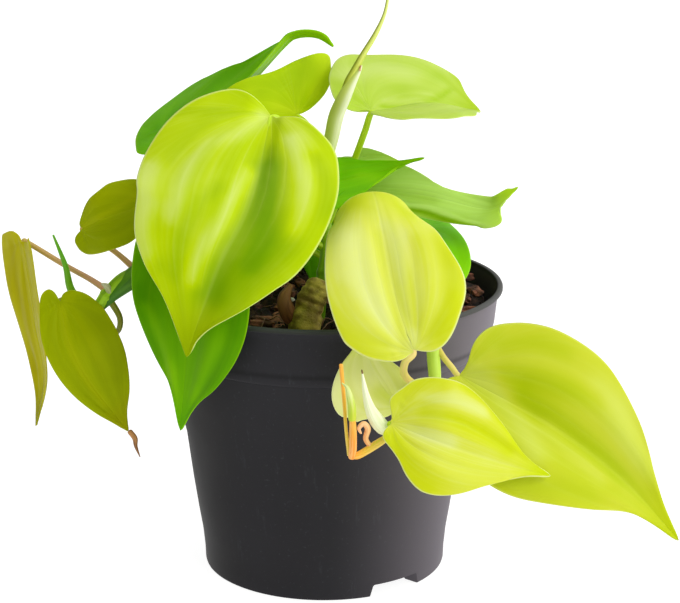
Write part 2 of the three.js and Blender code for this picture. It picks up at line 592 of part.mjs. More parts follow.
const stemBar = (s, extra = 0) => toSolid(bar(s.path, s.radii, s.rings, s.sides, extra));
const clearance = {};
for (const [name, s] of Object.entries(stems)) clearance[name] = stemBar(s, gap);

function stalkBar(leaf, extra = 0) {
  const radii = [stalkRadius * 0.5, stalkRadius * 0.8, stalkRadius, stalkRadius];
  return toSolid(bar([through(leaf.rib, 0.06), ...leaf.stalk], radii, 8, 6, extra));
}

const rooted = Object.values(leaves).filter((leaf) => leaf.on === 'soil').map((l) => stalkBar(l, gap));
place('pot', potSolid(), 'pot');
place('soil', soilSolid([...Object.values(clearance), ...rooted]), 'soil');
for (const [name, s] of Object.entries(stems)) place(name, stemBar(s), s.look);
for (const [name, s] of Object.entries(small)) {
  place(name, biggest(stemBar(s).subtract(clearance[s.on])), s.look);
}
for (const [name, leaf] of Object.entries(leaves)) {
  const whole = toSolid(blade(leaf)).add(stalkBar(leaf));
  place(name, leaf.on === 'soil' ? whole : biggest(whole.subtract(clearance[leaf.on])), leaf.look);
}

export default plant;
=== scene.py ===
import math
import random

import bpy
from mathutils import Matrix, Vector, noise


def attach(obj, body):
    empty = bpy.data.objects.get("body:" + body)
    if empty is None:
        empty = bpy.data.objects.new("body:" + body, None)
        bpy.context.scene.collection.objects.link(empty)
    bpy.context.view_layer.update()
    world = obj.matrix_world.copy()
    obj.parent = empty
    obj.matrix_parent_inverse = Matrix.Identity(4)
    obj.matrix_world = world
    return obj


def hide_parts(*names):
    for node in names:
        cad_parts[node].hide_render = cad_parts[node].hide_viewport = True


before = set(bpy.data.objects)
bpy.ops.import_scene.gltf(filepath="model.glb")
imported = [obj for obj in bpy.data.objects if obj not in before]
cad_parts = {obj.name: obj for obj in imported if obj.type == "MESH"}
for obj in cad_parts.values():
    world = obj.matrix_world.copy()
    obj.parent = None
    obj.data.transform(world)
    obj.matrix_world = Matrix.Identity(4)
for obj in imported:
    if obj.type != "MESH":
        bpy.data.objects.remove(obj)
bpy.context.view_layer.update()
mm = 0.001
print("frame loaded:", len(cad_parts), "solids")


def through(points, t):  # uniform Catmull-Rom curve
    last = len(points) - 1
    s = min(max(t, 0), 1) * last
    i = min(int(s), last - 1)
    f = s - i
    b, c = Vector(points[i]), Vector(points[i + 1])
    a = Vector(points[i - 1]) if i > 0 else 2 * b - c
    d = Vector(points[i + 2]) if i < last - 1 else 2 * c - b
    return 0.5 * (2 * b + (c - a) * f + (2 * a - 5 * b + 4 * c - d) * f * f
        + (3 * b - a - 3 * c + d) * f ** 3)


def oneOf(values, t):  # the same curve through plain numbers
    return through([(x, 0) for x in values], t)[0]


def smooth(low, high, x):
    s = min(max((x - low) / (high - low), 0), 1)
    return s * s * (3 - 2 * s)


def deselect():
    bpy.ops.object.select_all(action="DESELECT")


def choose(piece):
    deselect()
    piece.select_set(True)
    bpy.context.view_layer.objects.active = piece


def nameIt(piece, name):
    piece.name = name
    piece.data.name = name
    return piece


def modify(piece, kind, **settings):
    choose(piece)
    step = piece.modifiers.new(kind.lower(), kind)
    for key, value in settings.items():
        setattr(step, key, value)
    bpy.ops.object.modifier_apply(modifier=step.name)


def mergeDoubles(piece, apart=0.001, outward=True):
    choose(piece)
    bpy.ops.object.mode_set(mode="EDIT")
    bpy.ops.mesh.select_all(action="SELECT")
    bpy.ops.mesh.remove_doubles(threshold=apart * mm)
    if outward:
        bpy.ops.mesh.select_all(action="SELECT")
        bpy.ops.mesh.normals_make_consistent(inside=False)
    bpy.ops.object.mode_set(mode="OBJECT")
    if outward:
        bpy.ops.object.shade_smooth()


def gridPiece(name, rows, columns, place, second=None):
    # a flat grid whose points are moved one by one; its own UV map runs 0 to 1 along both sides
    deselect()
    bpy.ops.mesh.primitive_grid_add(x_subdivisions=rows, y_subdivisions=columns, size=2)
    piece = nameIt(bpy.context.object, name)
    mesh = piece.data
    flat = [((v.co.x + 1) / 2, v.co.y) for v in mesh.vertices]
    if second:
        spots = [second(u, v) for u, v in flat]
        layer = mesh.uv_layers.new(name="place")
        for loop in mesh.loops:
            layer.data[loop.index].uv = spots[loop.vertex_index]
        mesh.uv_layers.active = mesh.uv_layers[0]
    for vertex, (u, v) in zip(mesh.vertices, flat):
        vertex.co = place(u, v) * mm
    return piece


def tube(name, path, radii, rings, sides=14, swell=None):
    # rounded bar along a curve; swell(t, angle) scales the radius
    def near(t):
        return through(path, min(max(t, 0), 1))

    stations = []
    ends = 4
    side = Vector((0.31, 0.95, 0.05))
    for i in range(rings + 1):
        t = i / rings
        ahead = (near(t + 0.01) - near(t - 0.01)).normalized()
        side = (side - ahead * side.dot(ahead)).normalized()
        stations.append((near(t), ahead, side.copy(), ahead.cross(side), max(oneOf(radii, t), 0.05), t))

    def cap(station, way, k):  # ring k of a rounded end
        a = math.pi / 2 * k / ends
        c, d, s, o, r, t = station
        return c + way * d * r * 0.6 * math.cos(a), s, o, r * math.sin(a), t

    rounds = [cap(stations[0], -1, k) for k in range(ends)]
    rounds += [(c, s, o, r, t) for c, d, s, o, r, t in stations]
    rounds += [cap(stations[-1], 1, k) for k in reversed(range(ends))]
    last = len(rounds) - 1

    def place(u, v):
        c, s, o, r, t = rounds[round(u * last)]
        angle = math.pi * v
        if swell:
            r *= swell(t, angle)
        return c + s * r * math.cos(angle) + o * r * math.sin(angle)

    piece = gridPiece(name, last, sides, place)
    mergeDoubles(piece)
    return piece


def join(pieces, name):
    deselect()
    for piece in pieces:
        piece.select_set(True)
    bpy.context.view_layer.objects.active = pieces[0]
    bpy.ops.object.join()
    return nameIt(bpy.context.object, name)


def dress(piece, materials, nodes=()):
    for material in materials:
        piece.data.materials.append(material)
    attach(piece, "root")
    for node in nodes:
        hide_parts(node)
    return piece


# steps that every material is made of
def srgb(colour):
    return tuple((c / 255 / 12.92) if c < 11 else ((c / 255 + 0.055) / 1.055) ** 2.4 for c in colour) + (1,)


def mixed(a, b, f):
    return tuple(x + (y - x) * f for x, y in zip(a, b))


def addNode(tree, kind, **settings):
    node = tree.nodes.new("ShaderNode" + kind)
    for key, value in settings.items():
        setattr(node, key, value)
    return node


def feed(tree, socket, value):
    if isinstance(value, bpy.types.NodeSocket):
        tree.links.new(value, socket)
    else:
        socket.default_value = value


def feedAll(tree, node, values):
    for socket, value in zip(node.inputs, values):
        feed(tree, socket, value)
    return node.outputs[0]


def calc(tree, operation, *values, clamp=False):
    return feedAll(tree, addNode(tree, "Math", operation=operation, use_clamp=clamp), values)


def plus(tree, first, *others, clamp=False):
    for value in others:
        first = calc(tree, "ADD", first, value, clamp=clamp)
    return first


def times(tree, first, *others, clamp=False):
    for value in others:
        first = calc(tree, "MULTIPLY", first, value, clamp=clamp)
    return first


def weighed(tree, *pairs, clamp=False):  # sum of values, each times its weight
    return plus(tree, *[times(tree, value, weight) for value, weight in pairs], clamp=clamp)


def ease(tree, value, low, high, first=0.0, last=1.0):
    node = addNode(tree, "MapRange", interpolation_type="SMOOTHSTEP")
    return feedAll(tree, node, (value, low, high, first, last))


def fade(tree, value, low, high):
    return ease(tree, value, low, high, 1.0, 0.0)


def combine(tree, *values):
    return feedAll(tree, addNode(tree, "CombineXYZ"), values)


def split(tree, vector):
    node = addNode(tree, "SeparateXYZ")
    feed(tree, node.inputs[0], vector)
    return node.outputs[0], node.outputs[1], node.outputs[2]


def ownMap(tree, name="UVMap"):  # place on one of the piece's own UV maps
    return split(tree, addNode(tree, "UVMap", uv_map=name).outputs[0])


def coordinates(tree):
    return addNode(tree, "TexCoord").outputs["Object"]


def tint(tree, factor, a, b):
    node = addNode(tree, "Mix", data_type="RGBA")
    for place, value in ((0, factor), (6, a), (7, b)):
        feed(tree, node.inputs[place], value)
    return node.outputs[2]


def cloud(tree, vector, scale, detail=3.0, rough=0.55, warp=0.0):
    node = addNode(tree, "TexNoise")
    for label, value in (("Vector", vector), ("Scale", scale), ("Detail", detail), ("Roughness", rough),
                         ("Distortion", warp)):
        feed(tree, node.inputs[label], value)
    return node.outputs["Fac"]


def makeGroup(name, inputs, outputs):
    # an input without a value is a vector; of the outputs only "Colour" is a colour
    group = bpy.data.node_groups.new(name, "ShaderNodeTree")
    for label, value in inputs.items():
        kind = "Vector" if value is None else "Color" if isinstance(value, tuple) else "Float"
        socket = group.interface.new_socket(name=label, in_out="INPUT", socket_type="NodeSocket" + kind)
        if value is not None:
            socket.default_value = value
    for label in outputs:
        kind = "Color" if label == "Colour" else "Float"
        group.interface.new_socket(name=label, in_out="OUTPUT", socket_type="NodeSocket" + kind)
    return group, group.nodes.new("NodeGroupInput").outputs, group.nodes.new("NodeGroupOutput").inputs


def useGroup(tree, group, values):
    node = addNode(tree, "Group", node_tree=group)
    for label, value in values.items():
        feed(tree, node.inputs[label], value)
    return node.outputs


def newMaterial(name, roughness, specular, bump=0.0, reach=0.2):
    # reach: depth in mm of the bump's full height
    material = bpy.data.materials.new(name)
    material.use_nodes = True
    tree = material.node_tree
    skin = tree.nodes["Principled BSDF"].inputs
    skin["Roughness"].default_value = roughness
    skin["Specular IOR Level"].default_value = specular
    lift = None
    if bump:
        node = addNode(tree, "Bump")
        node.inputs["Strength"].default_value = bump
        node.inputs["Distance"].default_value = reach * mm
        tree.links.new(node.outputs["Normal"], skin["Normal"])
        lift = node.inputs["Height"]
    return material, tree, skin, lift


view = {"distance": 674, "elevation": 15.4, "target": (5.4, 0, 90.9), "focal": 105.9}
studio = {
    "skyLeft": 0.12, "skyRight": 1.05, "floor": (150, 150, 150), "floorGlow": 0.9,
    "suns": [  # place it shines from, spread in degrees, strength
        ((0.85, -0.7, 0.9), 40, 1.1),
        ((-0.2, 0.1, 1.0), 60, 0.9),
        ((1.0, 0.12, 0.2), 15, 0.35),
    ],
}


def setCamera():
    elevation = math.radians(view["elevation"])
    spot = Vector(view["target"]) + view["distance"] * Vector((0, -math.cos(elevation), math.sin(elevation)))
    bpy.ops.object.camera_add(location=spot * mm, rotation=(math.pi / 2 - elevation, 0, 0))
    camera = bpy.context.object
    camera.data.lens = view["focal"]
    camera.data.sensor_width = 36
    camera.data.clip_start = 0.01
    bpy.context.scene.camera = camera


def setLight():
    world = bpy.data.worlds.new("studio")
    world.use_nodes = True
    tree = world.node_tree
    sky = tree.nodes["Background"].inputs
    sideways = split(tree, addNode(tree, "TexCoord").outputs["Generated"])[0]
    sky["Color"].default_value = (1, 1, 1, 1)
    feed(tree, sky["Strength"], ease(tree, sideways, -0.7, 0.8, studio["skyLeft"], studio["skyRight"]))
    bpy.context.scene.world = world
    bpy.context.scene.view_settings.view_transform = "Standard"
    for place, spread, strength in studio["suns"]:
        aim = (-Vector(place)).to_track_quat("-Z", "Y").to_euler()
        bpy.ops.object.light_add(type="SUN", location=place, rotation=aim)
        bpy.context.object.data.angle = math.radians(spread)
        bpy.context.object.data.energy = strength


setCamera()
setLight()
print("camera and lamps set")

grey = (0.5, 0.5, 0.5, 1)


# fine mottling and pores, used by pot, bark and litter
def makeMottle():
    group, given, out = makeGroup("mottle", {"Vector": None, "Colour": grey, "Second": grey, "Size": 100.0,
        "Amount": 0.5}, ("Colour", "Mask", "Pores"))
    mask = ease(group, cloud(group, given["Vector"], given["Size"], 4.0, 0.5), 0.35, 0.65)
    amount = times(group, mask, given["Amount"])
    feed(group, out["Colour"], tint(group, amount, given["Colour"], given["Second"]))
    feed(group, out["Mask"], mask)
    feed(group, out["Pores"], cloud(group, given["Vector"], times(group, given["Size"], 9.0), 2.0, 0.5))
    return group


# skin of a leaf: veins follow the grid's rows, bands and blotches lie between them
def makeLeafSkin():
    group, given, out = makeGroup("leafSkin", {"Leaf": grey, "Band": grey, "Pale": grey, "Tip": grey,
        "Veins": 7.0, "Vein Strength": 0.3, "Band Strength": 0.6, "Blotch": 0.3, "Rim": 0.8, "Seed": 0.0},
        ("Colour", "Height", "Roughness"))
    along, across = ownMap(group, "place")[:2]
    side = plus(group, times(group, ownMap(group)[1], 2.0), -1.0)
    outer = calc(group, "ABSOLUTE", side)  # 0 on the midrib, 1 at the margin
    y = calc(group, "ABSOLUTE", across)
    x = plus(group, along, 0.0, clamp=True)
    bow = calc(group, "POWER", calc(group, "SUBTRACT", 1.0, x), 1.4)
    bow = times(group, calc(group, "POWER", x, 0.85), bow, 4.2)
    lobe = calc(group, "MAXIMUM", times(group, along, -1.0), 0.0)
    lobe = calc(group, "ARCTAN2", lobe, plus(group, y, 0.0001))
    fan = calc(group, "DIVIDE", y, plus(group, y, bow, 0.0001))
    fan = plus(group, fan, times(group, lobe, 0.5))  # the same all along one bowed vein
    far = calc(group, "SQRT", plus(group, times(group, along, along), times(group, y, y)))
    seed = plus(group, given["Seed"], times(group, calc(group, "SIGN", side), 3.7))
    solid = coordinates(group)
    wobble = times(group, plus(group, cloud(group, solid, 60.0, 2.0), -0.5), 0.35)
    fromVein = calc(group, "PINGPONG", plus(group, times(group, fan, given["Veins"]), wobble), 0.5)
    fading = times(group, fade(group, outer, 0.5, 0.95), ease(group, y, 0.0, 0.03),
        fade(group, along, 0.3, 0.75))
    vein = times(group, fade(group, fromVein, 0.0, 0.1), fading)
    soft = times(group, fade(group, fromVein, 0.0, 0.36), fading)
    rib = fade(group, outer, 0.0, 0.05)
    ribSoft = fade(group, outer, 0.0, 0.2)

    def streaks(often, slow, detail):
        vector = combine(group, times(group, fan, often), times(group, far, slow), seed)
        return cloud(group, vector, 1.0, detail, 0.45)

    fineStreaks = streaks(46.0, 2.2, 2.0)
    shade = addNode(group, "Attribute", attribute_type="GEOMETRY", attribute_name="shade").outputs["Fac"]
    bands = ease(group, streaks(6.0, 1.4, 1.0), 0.36, 0.66)
    spots = ease(group, cloud(group, solid, 40.0), 0.42, 0.75)
    veins = weighed(group, (vein, 0.3), (soft, 0.4), (rib, 0.5), (ribSoft, 0.4))
    colour = given["Leaf"]
    for strength, other in (
            (times(group, bands, given["Band Strength"]), "Band"),
            (times(group, ease(group, fineStreaks, 0.4, 0.8), 0.1), "Pale"),
            # painted shade (-) and painted highlight (+) of the folds
            (times(group, shade, -1.0, clamp=True), "Band"),
            (times(group, shade, 0.7, clamp=True), "Pale"),
            (times(group, spots, given["Blotch"]), "Pale"),
            (times(group, veins, given["Vein Strength"], clamp=True), "Pale"),
            (ease(group, along, 0.7, 1.0), "Tip"),
            (times(group, ease(group, outer, 0.965, 0.99), given["Rim"]), "Pale")):
        colour = tint(group, strength, colour, given[other])
    parts = addNode(group, "SeparateColor")
    group.links.new(colour, parts.inputs[0])
    red, green, blue = parts.outputs
    blue = times(group, calc(group, "POWER", blue, 1.6), 2.6)  # only the palest places keep blue
    feed(group, out["Colour"], feedAll(group, addNode(group, "CombineColor"), (red, green, blue)))
    feed(group, out["Height"], weighed(group, (vein, -0.3), (soft, -0.5), (rib, -0.9),
        (cloud(group, solid, 500.0, 2.0), 0.12), (fineStreaks, 0.3)))
    feed(group, out["Roughness"], ease(group, cloud(group, solid, 160.0), 0.3, 0.7, 0.36, 0.48))
    return group


# skin that runs lengthwise: first and last colour along the piece, streaks round it, and painted shade that
# darkens one side
def makeGrain():
    group, given, out = makeGroup("grain", {"First": grey, "Last": grey, "Streak": grey, "Side": grey,
        "Amount": 0.5, "Lines": 9.0, "Shift": 0.5, "Shadow": 0.0, "Turn": 0.0}, ("Colour", "Height"))
    along, around = ownMap(group)[:2]
    around = times(group, around, 2 * math.pi)
    lines = times(group, given["Lines"], 0.3)
    vector = combine(group, times(group, calc(group, "COSINE", around), lines),
        times(group, calc(group, "SINE", around), lines), times(group, along, 2.5))
    streaks = cloud(group, vector, 1.0, 3.0, 0.5)
    change = ease(group, along, plus(group, given["Shift"], -0.3), plus(group, given["Shift"], 0.3))
    # painted shade: one side of the piece is darkened toward its shade colour
    darker = fade(group, calc(group, "SINE", plus(group, around, given["Turn"])), -0.8, 0.35)
    colour = tint(group, change, given["First"], given["Last"])
    lined = times(group, ease(group, streaks, 0.42, 0.62), given["Amount"])
    colour = tint(group, lined, colour, given["Streak"])
    feed(group, out["Colour"], tint(group, times(group, darker, given["Shadow"]), colour, given["Side"]))
    feed(group, out["Height"], streaks)
    return group


mottle, leafSkin, grain = makeMottle(), makeLeafSkin(), makeGrain()


def leafMaterial(name, look, under=False):
    material, tree, skin, lift = newMaterial(name, 0.45, 0.13, -0.4 if under else 0.4, 0.2)
    leaf, band, pale, tip = (srgb(look[key]) for key in ("leaf", "band", "pale", "tip"))
    if under:
        leaf, band, tip = (mixed(c, pale, 0.45) for c in (leaf, band, tip))
    surface = useGroup(tree, leafSkin, {"Leaf": leaf, "Band": band, "Pale": pale, "Tip": tip,
        "Veins": look["veins"], "Vein Strength": look["lines"], "Band Strength": look["bands"],
        "Blotch": look["blotch"], "Rim": look["rim"], "Seed": look["seed"]})
    feed(tree, skin["Base Color"], surface["Colour"])
    feed(tree, skin["Roughness"], surface["Roughness"])
    feed(tree, lift, surface["Height"])
    skin["Specular Tint"].default_value = (0.95, 1, 0.2, 1)
    skin["Subsurface Weight"].default_value = look["glow"]
    skin["Subsurface Radius"].default_value = (1.0, 0.9, 0.25)
    skin["Subsurface Scale"].default_value = 2.0 * mm
    return material


def plainSkin(name, colour, second, size):  # two mottled colours and fine pores
    material, tree, skin, lift = newMaterial(name, 0.5, 0.5, bump=0.3, reach=0.15)
    surface = useGroup(tree, mottle, {"Vector": coordinates(tree), "Colour": srgb(colour),
        "Second": srgb(second), "Size": size, "Amount": 0.6})
    feed(tree, skin["Base Color"], surface["Colour"])
    feed(tree, lift, surface["Pores"])
    return material


def grainSkin(name, first, last, streak, amount=0.5, lines=9.0, shift=0.5, side=None, turn=0.0):
    material, tree, skin, lift = newMaterial(name, 0.45, 0.25, 0.3, 0.2)
    surface = useGroup(tree, grain, {"First": srgb(first), "Last": srgb(last), "Streak": srgb(streak),
        "Amount": amount, "Lines": lines, "Shift": shift, "Side": srgb(side or first),
        "Shadow": 0.9 if side else 0.0, "Turn": turn})
    feed(tree, skin["Base Color"], surface["Colour"])
    # painted light: the skin glows faintly in its own colour
    feed(tree, skin["Emission Color"], surface["Colour"])
    skin["Emission Strength"].default_value = 0.08
    feed(tree, lift, surface["Height"])
    return material


print("materials ready")

pot = {
    "height": 98, "rim": 60, "base": 41.2, "wall": 1.4, "foot": 4, "notch": 25, "firstNotch": -54,
    "steps": 144, "roughness": 0.5,
    # painted light and shade: the pot's right side is coloured lighter and its left side darker, as the lamps
    # fall
    "colour": (38, 37, 40), "worn": (51, 51, 56), "litRightSide": (121, 114, 122), "shaded": (12, 7, 4),
    # painted highlight on the rim's top: the lip band and the light grey of its top edge; that grey also
    # colours real scuffs and dust
    "lipHighlight": (58, 62, 54), "scuffAndHighlight": (104, 110, 116), "insideShade": (8, 8, 8),
}
# wall below the ledge: how far it lies beyond the base, at which height
bodyWall = [(0.2, 5), (0.9, 12), (2.2, 20), (3.8, 31), (5.8, 47), (9.2, 62), (13.1, 77.2)]


def potInner(z):  # inside radius of the wall below the ledge
    spots = [(pot["base"] + r - pot["wall"], h) for r, h in bodyWall]
    for (r0, h0), (r1, h1) in zip(spots, spots[1:]):
        if z <= h1:
            return r0 + (r1 - r0) * (z - h0) / (h1 - h0)
    return spots[-1][0]


def potProfile():
    h, rim, base, wall, foot = (pot[key] for key in ("height", "rim", "base", "wall", "foot"))
    return [
        (0, foot), (base - 6.4, foot), (base - 5.9, foot - 0.4), (base - 5.7, 0.3), (base - 5.4, 0),
        (base - 0.9, 0), (base - 0.45, 0.05), (base - 0.1, 0.25), (base + 0.05, 0.8),
        *[(base + r, z) for r, z in bodyWall],
        (rim - 5.5, 77.9), (rim - 4.8, 78.2), (rim - 4.4, 78.8), (rim - 4.1, 80), (rim - 2.6, 86),
        (rim - 1.8, h - 4.5), (rim - 1.4, h - 2.1), (rim - 1.1, h - 1.7), (rim - 0.3, h - 1.5),
        (rim, h - 1.2), (rim, h - 0.6), (rim - 0.2, h - 0.2), (rim - 0.6, h), (rim - 1.4, h),
        (rim - 1.8, h - 0.2),
        (rim - 2.05, h - 0.8), (rim - 2.6, h - 4), (rim - 3.8, h - 10),
        *[(base + r - wall, z) for r, z in reversed(bodyWall[1:])],
        (base + 0.6 - wall, 9), (base - 2, foot + wall + 1.6), (base - 3.5, foot + wall + 0.6),
        (base - 6, foot + wall), (0, foot + wall)]


def spinPot():
    # the wall's outline is drawn point by point, then spun round the pot's axis
    profile = potProfile()
    deselect()
    bpy.ops.mesh.primitive_plane_add(size=1, location=(0, 0, profile[0][1] * mm))
    piece = nameIt(bpy.context.object, "potShell")
    bpy.ops.object.transform_apply(location=True)
    bpy.ops.object.mode_set(mode="EDIT")
    bpy.ops.mesh.select_all(action="SELECT")
    bpy.ops.mesh.merge(type="CENTER")
    for (r0, z0), (r1, z1) in zip(profile, profile[1:]):
        step = ((r1 - r0) * mm, 0, (z1 - z0) * mm)
        bpy.ops.mesh.extrude_vertices_move(TRANSFORM_OT_translate={"value": step})
    bpy.ops.mesh.select_all(action="SELECT")
    bpy.ops.mesh.spin(steps=pot["steps"], angle=2 * math.pi, center=(0, 0, 0), axis=(0, 0, 1))
    bpy.ops.object.mode_set(mode="OBJECT")
    mergeDoubles(piece)
    return piece


def cutNotch(piece, turn):
    angle = math.radians(pot["firstNotch"] + turn)
    half = math.radians(pot["notch"] / 2)
    deselect()
    bpy.ops.mesh.primitive_cube_add(size=1)
    cutter = bpy.context.object
    for v in cutter.data.vertices:
        r = pot["base"] + (6 if v.co.x > 0 else -12)
        a = angle + (half if v.co.y > 0 else -half) * (1.0 if v.co.z > 0 else 1.16)
        v.co = Vector((r * math.cos(a), r * math.sin(a), pot["foot"] + 0.2 if v.co.z > 0 else -1)) * mm
    modify(cutter, "BEVEL", width=0.6 * mm, segments=3, limit_method="ANGLE")
    modify(piece, "BOOLEAN", operation="DIFFERENCE", object=cutter, solver="EXACT")
    bpy.data.objects.remove(cutter)


def makePot():
    piece = spinPot()
    for turn in (0, 180):
        cutNotch(piece, turn)
    choose(piece)
    bpy.ops.object.shade_smooth_by_angle(angle=math.radians(38))
    return piece


def potMaterial():
    material, tree, skin, lift = newMaterial("potPlastic", pot["roughness"], 0.11, bump=0.25, reach=0.06)
    solid = coordinates(tree)
    x, y, z = split(tree, solid)
    top = pot["height"] * mm
    plastic = useGroup(tree, mottle, {"Vector": solid, "Colour": srgb(pot["colour"]),
        "Second": srgb(pot["worn"]), "Size": 22.0, "Amount": 0.22})
    upright = addNode(tree, "Mapping")
    feed(tree, upright.inputs["Vector"], solid)
    upright.inputs["Scale"].default_value = (1, 1, 0.12)
    scuffs = ease(tree, cloud(tree, upright.outputs[0], 260.0, 5.0, 0.7), 0.6, 0.78)
    dust = ease(tree, cloud(tree, solid, 900.0, 2.0), 0.62, 0.75)
    # painted highlight on the top edge of the rim
    rimHighlight = ease(tree, z, top - 0.8 * mm, top - 0.2 * mm)
    # real scuffs and dust, and the painted highlight of the rim's top edge
    wearAndRimHighlight = weighed(tree, (scuffs, 0.14), (rimHighlight, 0.6), (dust, 0.08), clamp=True)
    fromAxis = calc(tree, "SQRT", plus(tree, times(tree, x, x), times(tree, y, y)))
    wall = plus(tree, times(tree, z, 0.13), 45.7 * mm)  # middle of the sloping wall near the top
    # painted shade: the inner face of the wall near the top is coloured near black
    insideShade = ease(tree, calc(tree, "SUBTRACT", fromAxis, wall), -0.2 * mm, 0.2 * mm, 0.85, 0.0)
    colour = plastic["Colour"]
    for strength, other in (
            # painted light lightens the pot's right side, painted shade darkens its left side
            (wearAndRimHighlight, "scuffAndHighlight"), (ease(tree, x, 0.0, 70 * mm), "litRightSide"),
            (ease(tree, x, -52 * mm, -16 * mm, 0.85, 0.0), "shaded"),
            # painted highlight: a lighter band just below the rim's top
            (ease(tree, z, top - 1.6 * mm, top - 0.8 * mm, 0.0, 0.75), "lipHighlight"),
            # painted shade inside the wall
            (times(tree, insideShade, ease(tree, z, 80 * mm, 82 * mm)), "insideShade")):
        colour = tint(tree, strength, colour, srgb(pot[other]))
    feed(tree, skin["Base Color"], colour)
    rougher = weighed(tree, (plastic["Mask"], 0.08), (scuffs, 0.12))
    feed(tree, skin["Roughness"], plus(tree, rougher, pot["roughness"]))
    feed(tree, lift, plastic["Pores"])
    return material


potShell = dress(makePot(), [potMaterial()], ["pot"])
print("pot turned:", len(potShell.data.polygons), "faces")

soil = {
    "top": 88, "bottom": 6.5, "relief": 1.6, "edge": 54.3, "bank": 5, "grain": 0.9, "seed": 71, "chips": 54,
    "crumbs": 620, "fibres": 46, "grains": 9,
    # chips by the right wall: x, y, length; where stems stand: x, y, radius
    "placed": [(49.5, 19.5, 5), (51, 6, 7.5), (48, -1, 5)], "placedSeed": 5,
    "stands": [(-6.5, -25, 5.5), (-3, -11, 2.8), (9, 4, 2.8), (-37, -7, 2.8), (0, 27, 1.5), (6.5, 37, 1.5)],
}


def soilHeight(x, y):
    waves = math.sin(x * 0.21 + 1.3) * math.cos(y * 0.17 + 0.4) * 0.6
    waves += math.sin(x * 0.53 + y * 0.41) * 0.25 + math.cos(x * 0.37 - y * 0.61 + 2) * 0.25
    return soil["top"] + soil["bank"] * smooth(20, 45, x) * smooth(-25, 10, y) + soil["relief"] * waves


def soilTopPoint(x, y):
    p = Vector((x, y, 0))
    rough = noise.fractal(p * 0.35, 0.8, 2.1, 5) * soil["grain"]
    lumps = max(noise.noise(p * 0.55 + Vector((9, 3, 1))), 0) * 1.5
    return Vector((x, y, soilHeight(x, y) + rough + lumps - 0.7))


def makeSoil():
    topRows, allRows = 96, 108

    def place(u, v):
        i = round(u * allRows)
        a = math.pi * v
        if i <= topRows:
            r = soil["edge"] * (i / topRows)
            point = soilTopPoint(r * math.cos(a), r * math.sin(a))
            return point - Vector((0, 0, 1.2 * smooth(0.95, 1, i / topRows)))
        k = (i - topRows) / (allRows - topRows)
        if k < 0.75:
            z = soil["top"] - 3 - (soil["top"] - 3 - 14) * k / 0.75
            r = potInner(z) - 0.45
            return Vector((r * math.cos(a), r * math.sin(a), z))
        r = (soil["edge"] - 20) * (1 - k) / 0.25
        return Vector((r * math.cos(a), r * math.sin(a), soil["bottom"]))

    piece = gridPiece("soilBed", allRows, 240, place)
    mergeDoubles(piece)
    return piece


def soilMaterial():
    material, tree, skin, lift = newMaterial("pottingSoil", 0.9, 0.3, bump=0.9, reach=0.7)
    solid = coordinates(tree)
    crumbs = cloud(tree, solid, 900.0, 5.0, 0.7)
    lighter = ease(tree, cloud(tree, solid, 260.0, 4.0), 0.4, 0.68)
    colour = tint(tree, lighter, srgb((20, 14, 11)), srgb((58, 36, 24)))
    colour = tint(tree, ease(tree, crumbs, 0.6, 0.75), colour, srgb((96, 66, 44)))
    feed(tree, skin["Base Color"], colour)
    feed(tree, skin["Roughness"], ease(tree, crumbs, 0.3, 0.7, 0.7, 0.98))
    feed(tree, lift, crumbs)
    return material


def barkMaterial(name, light, dark, size=500.0):  # mottled, with pale flakes
    material, tree, skin, lift = newMaterial(name, 0.75, 0.35, bump=0.8, reach=0.35)
    solid = coordinates(tree)
    bark = useGroup(tree, mottle, {"Vector": solid, "Colour": srgb(dark), "Second": srgb(light),
        "Size": size * 0.4, "Amount": 1.0})
    flakes = ease(tree, cloud(tree, solid, size, 4.0, 0.7, 0.6), 0.55, 0.75)
    palest = srgb(mixed(light, (255, 235, 200), 0.3))
    feed(tree, skin["Base Color"], tint(tree, times(tree, flakes, 0.35), bark["Colour"], palest))
    feed(tree, lift, plus(tree, bark["Pores"], flakes))
    return material


def chipModel(kind):
    deselect()
    bpy.ops.mesh.primitive_cube_add(size=1)
    chip = nameIt(bpy.context.object, "chip%d" % kind)
    modify(chip, "BEVEL", width=0.16, segments=1, limit_method="NONE")
    choose(chip)
    bpy.ops.object.mode_set(mode="EDIT")
    bpy.ops.mesh.select_all(action="SELECT")
    bpy.ops.mesh.subdivide(number_cuts=1)
    bpy.ops.object.mode_set(mode="OBJECT")
    offset = Vector((kind * 7.1, 3.3, 1.7))
    for v in chip.data.vertices:
        v.co += v.co.normalized() * noise.noise(v.co * 1.9 + offset) * 0.34
        v.co.z += 0.25 * noise.noise(Vector((v.co.x * 1.2, v.co.y, kind)))
    return chip


def crumbModel():
    deselect()
    bpy.ops.mesh.primitive_ico_sphere_add(subdivisions=1, radius=1)
    crumb = bpy.context.object
    for v in crumb.data.vertices:
        v.co *= 1 + 0.5 * noise.noise(v.co * 2.2)
    return crumb


def strew(model, point, above, size, rnd, tilt):  # one copy of a model, turned at random
    spin = Matrix.Rotation(rnd.random() * 2 * math.pi, 4, "Z")
    spin = spin @ Matrix.Rotation((rnd.random() - 0.5) * tilt, 4, "X")
    place = Matrix.Translation((point + Vector((0, 0, above))) * mm)
    twin = model.copy()
    twin.data = model.data.copy()
    twin.data.transform(place @ spin @ Matrix.Diagonal((*[s * mm for s in size], 1)))
    bpy.context.scene.collection.objects.link(twin)
    return twin


def scatter(count, rnd, edge, room):  # places on the soil where no stem stands
    spots = []
    while len(spots) < count:
        r = edge * math.sqrt(rnd.random())
        a = rnd.random() * 2 * math.pi
        x, y = r * math.cos(a), r * math.sin(a)
        if all(math.hypot(x - sx, y - sy) > sr + room for sx, sy, sr in soil["stands"]):
            spots.append(soilTopPoint(x, y))
    return spots


